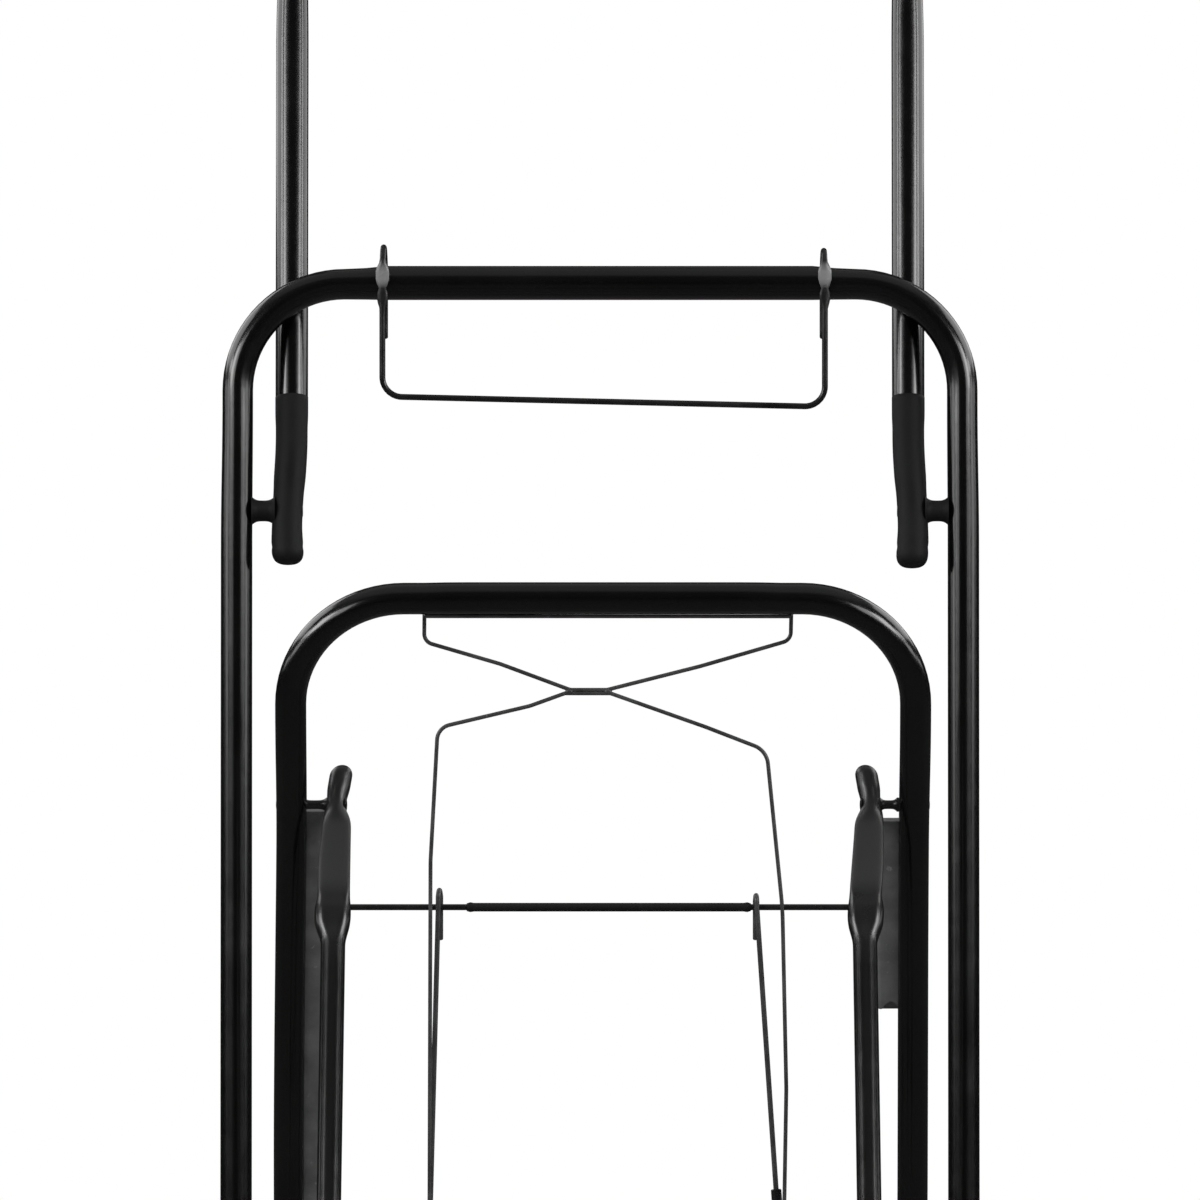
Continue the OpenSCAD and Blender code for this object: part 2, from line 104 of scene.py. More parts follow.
TUBE_R = size("main_plug_left").x / 2
TUBE_WALL = 1.5 * MM
MAIN_HALF = size("main_frame").x / 2 - TUBE_R
INNER_HALF = size("inner_frame").x / 2 - TUBE_R
HANDLE_HALF = centre("handle_boot_right").x
LEG_HALF = size("cross_rod").x / 2
LEG_R = 7 * MM
AXLE_R = size("rear_axle").z / 2
FRONT_AXLE_R = size("front_axle").z / 2
ROD_R = size("cross_rod").z / 2

MAIN_UP = (MAIN_BAR - REAR).normalized()
INNER_UP = (INNER_BAR - REAR).normalized()
HANDLE_UP = (HANDLE_BAR - PIVOT).normalized()


# ---------------------------------------------------------------- mesh building
def corner(a, b, c, radius, steps):
    """Points of an arc of that radius that rounds the corner at b."""
    u, w = (a - b).normalized(), (c - b).normalized()
    half = u.angle(w) / 2
    reach = radius / math.tan(half)
    middle = b + (u + w).normalized() * radius / math.sin(half)
    arc = []
    for k in range(steps + 1):
        p = b + (u * (steps - k) + w * k) * reach / steps
        arc.append(middle + (p - middle).normalized() * radius)
    return arc


def rounded(points, radii, steps=8):
    """The points, with each inner one rounded by its radius."""
    points = [Vector(p) for p in points]
    route = [points[0]]
    for i, radius in enumerate(radii, 1):
        if radius:
            route += corner(points[i - 1], points[i], points[i + 1], radius, steps)
        else:
            route.append(points[i])
    return route + [points[-1]]


def filled_in(points, step):
    """The points, with more put in wherever two lie further apart than step."""
    out = [points[0]]
    for a, b in zip(points, points[1:]):
        n = max(1, math.ceil((b - a).length / step))
        out += [a.lerp(b, k / n) for k in range(1, n + 1)]
    return out


def smooth_step(x, low, high):
    t = min(1, max(0, (x - low) / (high - low)))
    return t * t * (3 - 2 * t)


def bump_at(x, middle, half, edge):
    """1 within half of middle, falling to 0 over edge on both sides."""
    return 1 - smooth_step(abs(x - middle), half, half + edge)


def mesh_piece(name, shells, sharp_deg=32):
    """One object from closed shells, each (points, faces), shaded smooth with sharp edges kept."""
    bm = bmesh.new()
    for points, faces in shells:
        verts = [bm.verts.new(p) for p in points]
        for face in faces:
            bm.faces.new([verts[i] for i in face])
    bmesh.ops.remove_doubles(bm, verts=bm.verts, dist=1e-7)
    bmesh.ops.recalc_face_normals(bm, faces=bm.faces)
    for face in bm.faces:
        face.smooth = True
    for edge in bm.edges:
        edge.smooth = edge.calc_face_angle(0) < math.radians(sharp_deg)
    mesh = bpy.data.meshes.new(name)
    bm.to_mesh(mesh)
    bm.free()
    obj = bpy.data.objects.new(name, mesh)
    bpy.context.scene.collection.objects.link(obj)
    return obj


def skin(rings, looped=False):
    """A closed shell through rings of equal length, capped at both ends unless it's looped."""
    n = len(rings[0])
    points = [p for ring in rings for p in ring]
    spans = len(rings) if looped else len(rings) - 1
    faces = []
    for i in range(spans):
        a, b = i * n, (i + 1) % len(rings) * n
        faces += [(a + k, b + k, b + (k + 1) % n, a + (k + 1) % n) for k in range(n)]
    if not looped:
        faces += [tuple(range(n)), tuple(range(len(points) - n, len(points)))]
    return points, faces


def lathe(profile, base, axis, segments=64, looped=False, radius=None):
    """A shell turned round the axis. The profile's points are (distance along it, radius)."""
    axis = Vector(axis).normalized()
    u = axis.orthogonal().normalized()
    w = axis.cross(u)
    rings = []
    for along, r in profile:
        ring = []
        for k in range(segments):
            a = math.tau * k / segments
            r_here = radius(along, r, a) if radius else r
            ring.append(base + axis * along + (u * math.cos(a) + w * math.sin(a)) * r_here)
        rings.append(ring)
    return skin(rings, looped)


def ring_profile(length, inner, outer, bevel):
    """Section of a ring with bevelled outer and inner edges."""
    far = length - bevel
    return [(bevel, inner), (0, inner + bevel), (0, outer - bevel), (bevel, outer),
            (far, outer), (length, outer - bevel), (length, inner + bevel), (far, inner)]


def rod_profile(length, r, bevel):
    """Section of a solid bar with bevelled ends."""
    return [(0, POLE), (0, r - bevel), (bevel, r), (length - bevel, r), (length, r - bevel), (length, POLE)]


def quarter_turn(steps):
    """Angles from 0 to a right angle, for a rounded end or corner."""
    return [math.pi / 2 * k / steps for k in range(steps + 1)]


def wire(points, r, sides=14, first=X, looped=False, section=None):
    """Round wire through the points, with rounded ends. section(point) gives its two half widths."""
    count = len(points)
    tangents = []
    for i in range(count):
        if looped:
            before, after = points[i - 1], points[(i + 1) % count]
        else:
            before, after = points[max(0, i - 1)], points[min(count - 1, i + 1)]
        tangents.append((after - before).normalized())
    side = Vector(first)
    rings = []
    bulge = 0.6 * r
    end_angles = (0.15, 0.6, 1.05)

    def ring(p, side, t, scale, shift):
        a, b = section(p) if section else (r, r)
        up = t.cross(side)
        return [p + t * shift + (side * a * math.cos(math.tau * k / sides)
                                 + up * b * math.sin(math.tau * k / sides)) * scale
                for k in range(sides)]

    for p, t in zip(points, tangents):
        side = (side - t * side.dot(t)).normalized()
        if not looped and p is points[0]:
            rings += [ring(p, side, t, math.sin(a), -bulge * math.cos(a)) for a in end_angles]
        rings.append(ring(p, side, t, 1, 0))
    if not looped:
        rings += [ring(p, side, t, math.sin(a), bulge * math.cos(a)) for a in reversed(end_angles)]
    return skin(rings, looped)


# ---------------------------------------------------------------- materials
PAINT_IOR = 1.42


def new_material(name):
    """A material, with its node tree and its shader."""
    material = bpy.data.materials.new(name)
    material.use_nodes = True
    tree = material.node_tree
    return material, tree, tree.nodes["Principled BSDF"]


def coordinates(tree, scale=(1, 1, 1)):
    """Object coordinates in metres, stretched by scale."""
    coord = tree.nodes.new("ShaderNodeTexCoord")
    mapping = tree.nodes.new("ShaderNodeMapping")
    mapping.inputs["Scale"].default_value = scale
    tree.links.new(coord.outputs["Object"], mapping.inputs["Vector"])
    return mapping.outputs["Vector"]


def noise(tree, vector, scale, detail=3.0, rough=0.5, distort=0.0):
    """Cloudy grey noise: scale is its cells to a metre."""
    node = tree.nodes.new("ShaderNodeTexNoise")
    node.inputs["Scale"].default_value = scale
    node.inputs["Detail"].default_value = detail
    node.inputs["Roughness"].default_value = rough
    node.inputs["Distortion"].default_value = distort
    tree.links.new(vector, node.inputs["Vector"])
    return node.outputs["Fac"]


def ramp(tree, value, stops):
    """A colour ramp: stops are (position, grey or colour)."""
    node = tree.nodes.new("ShaderNodeValToRGB")
    elements = node.color_ramp.elements
    while len(elements) < len(stops):
        elements.new(0.5)
    for element, (position, colour) in zip(elements, stops):
        element.position = position
        rgb = (colour,) * 3 if isinstance(colour, (int, float)) else colour
        element.color = (*rgb, 1)
    tree.links.new(value, node.inputs["Fac"])
    return node.outputs["Color"]


def mixed(tree, factor, a, b, mode="MIX"):
    """A mix of two colours. a and b are sockets, greys or colours."""
    node = tree.nodes.new("ShaderNodeMix")
    node.data_type = "RGBA"
    node.blend_type = mode
    for socket, value in ((node.inputs["Factor"], factor), (node.inputs[6], a), (node.inputs[7], b)):
        if isinstance(value, bpy.types.NodeSocket):
            tree.links.new(value, socket)
        elif socket.type == "RGBA":
            socket.default_value = (*((value,) * 3 if isinstance(value, (int, float)) else value), 1)
        else:
            socket.default_value = value
    return node.outputs[2]


def bump(tree, height, distance, strength=1.0, normal=None):
    """A normal roughened by that height, on top of another normal if one is given."""
    node = tree.nodes.new("ShaderNodeBump")
    node.inputs["Strength"].default_value = strength
    node.inputs["Distance"].default_value = distance
    tree.links.new(height, node.inputs["Height"])
    if normal:
        tree.links.new(normal, node.inputs["Normal"])
    return node.outputs["Normal"]


def gloss_enamel():
    """Baked gloss enamel: orange peel, faint waves, dust and smudges, and duller where "dull" says so."""
    material, tree, bsdf = new_material("gloss_enamel")
    place = coordinates(tree)
    cloud = noise(tree, place, 14, 4)
    dust = ramp(tree, noise(tree, place, 900, 2, 0.6), [(0.70, 0.0), (0.78, 1.0)])
    patch = ramp(tree, noise(tree, place, 30, 3), [(0.45, 0.0), (0.75, 0.35)])
    speck = mixed(tree, 1.0, dust, patch, "MULTIPLY")
    base = ramp(tree, cloud, [(0.3, 0.0007), (0.7, 0.0016)])
    dull = tree.nodes.new("ShaderNodeAttribute")
    dull.attribute_name = "dull"
    dusty = mixed(tree, speck, base, (0.02, 0.02, 0.019))
    tree.links.new(mixed(tree, dull.outputs["Fac"], dusty, 0.011), bsdf.inputs["Base Color"])
    smear = noise(tree, place, 55, 5, 0.6, 0.4)
    gloss = ramp(tree, smear, [(0.3, 0.17), (0.55, 0.21), (0.8, 0.28)])
    tree.links.new(mixed(tree, dull.outputs["Fac"], gloss, 0.5), bsdf.inputs["Roughness"])
    tree.links.new(mixed(tree, dull.outputs["Fac"], 0.35, 0.0), bsdf.inputs["Coat Weight"])
    peel = bump(tree, noise(tree, place, 520, 1), 0.00003, 0.35)
    waves = bump(tree, noise(tree, place, 85, 2), 0.00025, 0.25, peel)
    tree.links.new(waves, bsdf.inputs["Normal"])
    bsdf.inputs["IOR"].default_value = PAINT_IOR
    bsdf.inputs["Coat Roughness"].default_value = 0.12
    return material


def coated_wire(name, dark, light, rough):
    """Dip-coated wire or strip: a fine pebbled skin with thin spots, and a painted highlight in pale grey
    where the wire's attribute marks it.
    """
    material, tree, bsdf = new_material(name)
    place = coordinates(tree)
    cloud = noise(tree, place, 60, 4, 0.6)
    thin = ramp(tree, noise(tree, place, 260, 3, 0.7), [(0.66, 0.0), (0.74, 0.5)])
    base = ramp(tree, cloud, [(0.3, dark), (0.7, light)])
    # Painted highlight: pale grey base colour where the top bail's wire is pressed on the bar, standing in
    # for the light it catches there.
    painted_highlight = tree.nodes.new("ShaderNodeAttribute")
    painted_highlight.attribute_name = "painted_highlight"
    coat = mixed(tree, thin, base, light * 2.2)
    tree.links.new(mixed(tree, painted_highlight.outputs["Fac"], coat, 0.12), bsdf.inputs["Base Color"])
    gloss = ramp(tree, cloud, [(0.25, rough - 0.07), (0.75, rough + 0.1)])
    tree.links.new(gloss, bsdf.inputs["Roughness"])
    grain = bump(tree, noise(tree, place, 1900, 2), 0.00004, 0.5)
    tree.links.new(bump(tree, cloud, 0.0002, 0.3, grain), bsdf.inputs["Normal"])
    bsdf.inputs["IOR"].default_value = PAINT_IOR
    return material


def moulded_plastic(name, dark, light, rough, specular):
    """Moulded plastic: spark-eroded grain, flow clouds and scuffs that catch light."""
    material, tree, bsdf = new_material(name)
    place = coordinates(tree)
    flow = noise(tree, place, 22, 4, 0.6, 0.8)
    grain = noise(tree, place, 1500, 3, 0.7)
    scuff = ramp(tree, noise(tree, coordinates(tree, (1, 1, 0.12)), 420, 4, 0.7),
                 [(0.62, 0.0), (0.72, 0.4)])
    base = ramp(tree, flow, [(0.25, dark), (0.75, light)])
    tree.links.new(mixed(tree, scuff, base, tuple(1.6 * c for c in light)), bsdf.inputs["Base Color"])
    tree.links.new(ramp(tree, flow, [(0.2, rough - 0.06), (0.8, rough + 0.08)]), bsdf.inputs["Roughness"])
    fine = bump(tree, grain, 0.00006, 0.6)
    tree.links.new(bump(tree, flow, 0.0003, 0.25, fine), bsdf.inputs["Normal"])
    bsdf.inputs["IOR"].default_value = 1.46
    bsdf.inputs["Specular IOR Level"].default_value = specular
    return material


def rubber(name, base_dark, base_light, pore_scale, pore_depth):
    """Rubber or foam: pores, a chalky bloom and rubbed, dusty patches."""
    material, tree, bsdf = new_material(name)
    place = coordinates(tree)
    cells = tree.nodes.new("ShaderNodeTexVoronoi")
    cells.inputs["Scale"].default_value = pore_scale
    tree.links.new(place, cells.inputs["Vector"])
    bloom = noise(tree, place, 35, 5, 0.65)
    dust = ramp(tree, bloom, [(0.5, 0.0), (0.85, 0.4)])
    base = ramp(tree, cells.outputs["Distance"], [(0.1, base_dark), (0.6, base_light)])
    tree.links.new(mixed(tree, dust, base, (0.05, 0.048, 0.045)), bsdf.inputs["Base Color"])
    tree.links.new(ramp(tree, bloom, [(0.2, 0.68), (0.8, 0.9)]), bsdf.inputs["Roughness"])
    fine = bump(tree, noise(tree, place, 1100, 3, 0.7), 0.00008, 0.6)
    tree.links.new(bump(tree, cells.outputs["Distance"], pore_depth, 0.7, fine), bsdf.inputs["Normal"])
    bsdf.inputs["Specular IOR Level"].default_value = 0.35
    bsdf.inputs["Sheen Weight"].default_value = 0.06
    return material


def zinc_plate():
    """Bright zinc plating: turned rings, a faint yellow and blue cast, dull spots."""
    material, tree, bsdf = new_material("zinc_plate")
    place = coordinates(tree)
    cast = noise(tree, place, 45, 4, 0.6)
    spots = ramp(tree, noise(tree, place, 380, 3, 0.6), [(0.6, 0.0), (0.75, 0.6)])
    tint = ramp(tree, cast, [(0.25, (0.47, 0.50, 0.55)), (0.5, (0.56, 0.56, 0.56)),
                             (0.8, (0.60, 0.56, 0.47))])
    tree.links.new(mixed(tree, spots, tint, (0.34, 0.34, 0.33)), bsdf.inputs["Base Color"])
    tree.links.new(ramp(tree, cast, [(0.2, 0.22), (0.8, 0.42)]), bsdf.inputs["Roughness"])
    turned = noise(tree, coordinates(tree, (1, 0.02, 0.02)), 2600, 2)
    tree.links.new(bump(tree, turned, 0.00003, 0.5), bsdf.inputs["Normal"])
    bsdf.inputs["Metallic"].default_value = 1.0
    return material


# Colours and roughness: the dark and the light of each one's clouds
ENAMEL = gloss_enamel()
WIRE = coated_wire("coated_wire", 0.003, 0.008, 0.27)
PALE_WIRE = coated_wire("thin_coated_wire", 0.018, 0.036, 0.32)
STRIP = coated_wire("coated_strip", 0.045, 0.085, 0.5)
PLASTIC = moulded_plastic("matt_plastic", (0.003, 0.003, 0.0032), (0.006, 0.006, 0.0063), 0.6, 0.16)
WHEEL_PLASTIC = moulded_plastic("wheel_plastic", (0.05, 0.052, 0.055), (0.08, 0.083, 0.087), 0.42, 0.4)
TYRE = rubber("tyre_rubber", (0.006, 0.006, 0.006), (0.013, 0.013, 0.013), 700, 0.00008)
GRIP = rubber("grip_foam", (0.006, 0.006, 0.006), (0.017, 0.017, 0.017), 900, 0.0003)
ZINC = zinc_plate()


def stand_in(obj, material, *nodes):
    """The piece stands for those CAD nodes: it gets the material given, takes their body, and hides them."""
    obj.data.materials.append(material)
    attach(obj, BODY[nodes[0]])
    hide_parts(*nodes)


# ---------------------------------------------------------------- bent tubes
TUBE_SIDES = 48
MAIN_HEIGHT = (MAIN_BAR - REAR).length
INNER_HEIGHT = (INNER_BAR - REAR).length
HANDLE_HEIGHT = (HANDLE_BAR - PIVOT).length
MAIN_BEND, INNER_BEND, HANDLE_BEND = 62 * MM, 64 * MM, 62 * MM
MAIN_FOOT, INNER_FOOT = -16 * MM, -14 * MM
BOOT_TOP = 66.4 * MM
HANDLE_FOOT = BOOT_TOP - 6 * MM


def u_stations(half, height, bend, foot):
    """Stations of an inverted U, from its left foot to its right one: (x, h, outward x, outward h)."""
    step = 12 * MM
    legs = max(2, round((height - bend - foot) / step))
    bar = max(2, round(2 * (half - bend) / step))
    left = [(-half, foot + (height - bend - foot) * k / legs, -1, 0) for k in range(legs)]
    arc = []
    for a in quarter_turn(20)[:-1]:
        arc.append((bend - half - bend * math.cos(a), height - bend + bend * math.sin(a),
                    -math.cos(a), math.sin(a)))
    top = [((half - bend) * (2 * k / bar - 1), height, 0, 1) for k in range(bar + 1)]
    right = [(-x, h, -ox, oh) for x, h, ox, oh in reversed(left + arc)]
    return left + arc + top + right


def inner_shift(side, h):
    """The inner frame stands a little to the right towards its top; its legs spread in the middle."""
    if side > 0:
        low, high = smooth_step(h, 30 * MM, 170 * MM), smooth_step(h, 300 * MM, 450 * MM)
        return 1.45 * MM * low + 0.35 * MM * high
    low, high = smooth_step(h, 30 * MM, 150 * MM), smooth_step(h, 170 * MM, 450 * MM)
    return 2.4 * MM * high - 0.6 * MM * low


def bent_tube(name, base, up, half, height, bend, foot, oval, shift=None):
    """Hollow inverted U. oval(x, h) gives its half widths outward, inward and across the plane."""
    across = X.cross(up)
    outer, inner = [], []
    stations = u_stations(half, height, bend, foot)
    for x, h, ox, oh in stations:
        middle = base + X * (x + (shift(x, h) if shift else 0)) + up * h
        outward = X * ox + up * oh
        out, inn, deep = oval(x, h)
        for rings, wall in ((outer, 0), (inner, TUBE_WALL)):
            ring = []
            for k in range(TUBE_SIDES):
                a = math.tau * k / TUBE_SIDES
                c, s = math.cos(a), math.sin(a)
                ring.append(middle + outward * c * ((out if c > 0 else inn) - wall)
                            + across * s * (deep - wall))
            rings.append(ring)
    return mesh_piece(name, [skin(outer + inner[::-1], looped=True)])


def frame_oval(height, bar_end, bar_widths, leg_widths, turn_widths):
    """oval(x, h) of a frame, from the half widths in mm of its bar, its legs and its bends."""
    def oval(x, h):
        bar = 1 - smooth_step(abs(x), bar_end, bar_end + 20 * MM)
        leg = 1 - smooth_step(h, height - 150 * MM, height - 70 * MM)
        turn = max(0, 1 - bar - leg)
        return [(b * bar + f * leg + t * turn) * MM
                for b, f, t in zip(bar_widths, leg_widths, turn_widths)]
    return oval


def handle_oval(x, h):
    """The handle's tube is round, and a little flatter in its bends."""
    turn = smooth_step(h, HANDLE_HEIGHT - 100 * MM, HANDLE_HEIGHT - 60 * MM)
    turn *= smooth_step(abs(x), HANDLE_HALF - 85 * MM, HANDLE_HALF - 55 * MM)
    return (9.35 - 0.7 * turn) * MM, (9.35 - 0.3 * turn) * MM, (9.35 + 0.15 * turn) * MM


main_oval = frame_oval(MAIN_HEIGHT, 122 * MM, (9.95, 9.7, 9.45), (9.05, 9.05, 9.45), (8.2, 9.4, 9.8))
inner_oval = frame_oval(INNER_HEIGHT, 84 * MM, (10.05, 8.2, 9.35), (8.7, 8.7, 9.35), (9.6, 8.2, 9.75))

main_tube = bent_tube("main_frame_tube", REAR, MAIN_UP, MAIN_HALF, MAIN_HEIGHT, MAIN_BEND, MAIN_FOOT,
                      main_oval)
stand_in(main_tube, ENAMEL, "main_frame")
inner_tube = bent_tube("inner_frame_tube", REAR, INNER_UP, INNER_HALF, INNER_HEIGHT, INNER_BEND, INNER_FOOT,
                       inner_oval, inner_shift)
stand_in(inner_tube, ENAMEL, "inner_frame")
handle_tube = bent_tube("handle_bent_tube", PIVOT, HANDLE_UP, HANDLE_HALF, HANDLE_HEIGHT, HANDLE_BEND,
                        HANDLE_FOOT, handle_oval)
stand_in(handle_tube, ENAMEL, "handle_tube")


# ---------------------------------------------------------------- handle boots, pivots, grip
def boot(name, side):
    """Matt boot on a handle leg: bows outward towards its rounded lower end."""
    base = PIVOT + X * side * HANDLE_HALF
    across = X.cross(HANDLE_UP)
    r, dome, step = 9.25 * MM, 7 * MM, 3 * MM
    top, bottom = BOOT_TOP + 2 * MM, (-33 if side > 0 else -31) * MM
    rows = math.ceil((top - bottom - dome) / step)
    outline = [(top, 0.93), (top - 0.8 * MM, 1.0)] + [(top - step * k, 1.0) for k in range(1, rows)]
    for a in quarter_turn(10):
        outline.append((bottom + dome * (1 - math.sin(a)), 0.42 + 0.58 * max(0, math.cos(a)) ** 0.8))
    outline.append((bottom, 0.02))
    rings = []
    for h, share in outline:
        bow = 2.6 * MM * smooth_step(-h, -45 * MM, 12 * MM) - 0.6 * MM * smooth_step(-h, 12 * MM, 33 * MM)
        seat = 0.35 * MM * bump_at(h, -22 * MM, 0.5 * MM, 1.5 * MM)
        collar = 0.3 * MM * smooth_step(h, BOOT_TOP - 18 * MM, BOOT_TOP - 8 * MM)
        narrow = 0.45 * MM * bump_at(h, 0, 8 * MM, 14 * MM)
        ring = []
        for k in range(TUBE_SIDES):
            a = math.tau * k / TUBE_SIDES
            c, s = math.cos(a), math.sin(a)
            seam = 0.18 * MM * max(0, 1 - abs(s) / 0.05) if share > 0.9 else 0
            here = (r + collar - seat - narrow - seam) * share
            ring.append(base + HANDLE_UP * h + X * side * bow + X * c * here + across * s * here)
        rings.append(ring)
    return mesh_piece(name, [skin(rings)], 45)


def pivot_spacer(name, side, node):
    """Waisted spacer between a boot and the main frame, let a little into both."""
    low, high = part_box(node)
    length = high.x - low.x + 1.6 * MM
    start = Vector((low.x - (0.2 if side > 0 else 1.4) * MM, PIVOT.y, PIVOT.z))
    bore, waist, flare = 3.2 * MM, 6 * MM, 2.6 * MM
    profile = [(0, bore)]
    for k in range(17):
        profile.append((length * k / 16, waist + flare * abs(2 * k / 16 - 1) ** 3.2))
    profile.append((length, bore))
    return mesh_piece(name, [lathe(profile, start, X, looped=True)])


def pivot_bolt(name, side, node):
    """Bolt of the handle's pivot: a low head with a dimple, and a plain shank."""
    low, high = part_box(node)
    base = Vector((low.x if side > 0 else high.x, PIVOT.y, PIVOT.z))
    length, shank = high.x - low.x, 3 * MM
    profile = [(0.1 * MM, POLE), (0.1 * MM, 1.6 * MM), (0, 2 * MM), (0.1 * MM, 3.2 * MM),
               (0.5 * MM, 3.6 * MM), (2.5 * MM, shank), (length, shank), (length, POLE)]
    return mesh_piece(name, [lathe(profile, base, X * side, 40)])


def grip():
    """Foam grip: soft ends and shallow rings, with a smooth band in the middle."""
    low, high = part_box("handle_grip")
    length, r = high.x - low.x, (high.z - low.z) / 2
    core = TUBE_R + PLAY
    lip, shoulder, pitch, groove = 1.2 * MM, 4.5 * MM, 5 * MM, 0.8 * MM
    end = [(0.4 * MM, core)]
    for a in quarter_turn(8):
        end.append((shoulder * (1 - math.cos(a)), core + lip + (r - core - lip) * math.sin(a)))
    profile = list(end)
    count = 230
    for k in range(1, count):
        along = shoulder + (length - 2 * shoulder) * k / count
        edge = min(along, length - along)
        ribs = smooth_step(edge, 8 * MM, 12 * MM) * (1 - bump_at(along, length / 2, 19 * MM, 2 * MM))
        wave = 0.5 - 0.5 * math.cos(math.tau * (along - length / 2) / pitch)
        profile.append((along, r - 0.05 * MM - groove * ribs * (1 - wave) ** 2))
    profile += [(length - along, radius) for along, radius in reversed(end)]
    base = Vector((low.x, HANDLE_BAR.y, HANDLE_BAR.z))
    return mesh_piece("handle_grip_foam", [lathe(profile, base, X, looped=True)], 60)


for side_name, side in SIDES:
    stand_in(boot(f"handle_boot_{side_name}_moulding", side), PLASTIC, f"handle_boot_{side_name}")
    node = f"pivot_spacer_{side_name}"
    stand_in(pivot_spacer(f"{node}_turned", side, node), PLASTIC, node)
    node = f"handle_pivot_{side_name}"
    stand_in(pivot_bolt(f"{node}_bolt", side, node), WIRE, node)
stand_in(grip(), GRIP, "handle_grip")


# ---------------------------------------------------------------- front legs
LEG_SPLAY = math.radians(0.7)
FLAT_W, FLAT_T = 18.4 * MM, 6.4 * MM
CRIMP_LOW, CRIMP_HIGH, FLAT_TOP = -90 * MM, -64 * MM, -14 * MM
TIP_R, TIP_TOP, TIP_LEAN = 6.5 * MM, 24.5 * MM, math.radians(8)
EARS = {1: 1.7 * MM, -1: 0.7 * MM}      # how far the crimp sticks out, on the outer and the inner side
NECK = 0.8 * MM                         # how much thinner the tube is at the rivet


def leg_shift(side, h):
    """The left leg sits a little outwards all along, the right one swerves outwards at its top."""
    return 5.4 * MM * smooth_step(h, -80 * MM, 14 * MM) if side > 0 else 1.1 * MM


def leg_axes(side):
    """Origin at the rivet, the direction up the leg and the two across it."""
    lean = math.atan2(RIVET.y - FRONT.y, RIVET.z - FRONT.z)
    turn = Matrix.Rotation(-lean, 3, "X")
    up = turn @ Vector((-side * math.sin(LEG_SPLAY), 0, math.cos(LEG_SPLAY)))
    out = turn @ Vector((side * math.cos(LEG_SPLAY), 0, math.sin(LEG_SPLAY)))
    return RIVET + X * side * LEG_HALF, up, out, up.cross(out)


def front_leg(name, side):
    """Round tube, pinched to a flat plate with a crease at its root, then round again to a bent tip."""
    origin, up, out, deep = leg_axes(side)
    foot = -(RIVET - FRONT).length - 12 * MM
    tip = TIP_TOP - TIP_R
    heights = [foot + 1 * MM] + [foot + (CRIMP_LOW - foot) * k / 24 for k in range(1, 24)]
    heights += [CRIMP_LOW + (CRIMP_HIGH - CRIMP_LOW) * k / 22 for k in range(23)]
    heights += [CRIMP_HIGH + (FLAT_TOP - CRIMP_HIGH) * k / 10 for k in range(1, 11)]
    heights += [FLAT_TOP + (tip - FLAT_TOP) * k / 14 for k in range(1, 15)]
    sides = 56

    def ring(h, shrink=1.0):
        wide = smooth_step(h, CRIMP_LOW, CRIMP_HIGH - 6 * MM)
        top = smooth_step(h, FLAT_TOP, -1 * MM)
        widths = {1: wide * (1 - smooth_step(h, -44 * MM, -2 * MM)), -1: wide * (1 - top)}
        thin = smooth_step(h, CRIMP_HIGH - 3 * MM, CRIMP_HIGH + 13 * MM) * (1 - top)
        r = LEG_R + (TIP_R - LEG_R) * top - NECK * bump_at(h, 1 * MM, 1 * MM, 9 * MM)
        squeezed = bump_at(h, CRIMP_LOW + 18 * MM, 4 * MM, 12 * MM)
        half_t = r + (FLAT_T / 2 - r) * thin
        crease = bump_at(h, CRIMP_LOW + 19 * MM, 6 * MM, 12 * MM)
        lobe = bump_at(h, CRIMP_HIGH - 3 * MM, 1 * MM, 17 * MM)
        middle = origin + up * h + out * (leg_shift(side, h) - math.tan(TIP_LEAN) * max(0, h + 3 * MM))
        points = []
        for k in range(sides):
            a = math.tau * k / sides
            c, s = math.cos(a), math.sin(a)
            sign = 1 if c > 0 else -1
            flat = widths[sign]
            half_w = r + (FLAT_W / 2 - r) * flat + EARS[sign] * squeezed
            x = math.copysign(abs(c) ** (1 - 0.35 * flat * thin), c) * half_w
            y = math.copysign(abs(s) ** (1 - 0.55 * thin), s) * half_t
            off = abs(x) / half_w
            dip = 0.1 * crease * math.exp(-(off / 0.5) ** 2)
            swell = 0.16 * lobe * math.exp(-((off - 0.72) / 0.3) ** 2)
            y *= 1 - dip + swell
            points.append(middle + (out * x + deep * y) * shrink)
        return points

    rings = [ring(foot, 0.86)] + [ring(h) for h in heights]
    for a in quarter_turn(8)[1:]:
        rings.append(ring(tip + TIP_R * math.sin(a), max(0.03, math.cos(a))))
    obj = mesh_piece(name, [skin(rings)], 50)
    dull = obj.data.attributes.new("dull", "FLOAT", "POINT")
    for vertex, value in zip(obj.data.vertices, dull.data):
        h = (vertex.co - origin).dot(up)
        plate = smooth_step(h, CRIMP_HIGH, CRIMP_HIGH + 18 * MM) * (1 - 0.5 * smooth_step(h, FLAT_TOP, 0))
        value.value = max(plate, 0.3 * bump_at(h, CRIMP_HIGH - 4 * MM, 10 * MM, 24 * MM))
    return obj


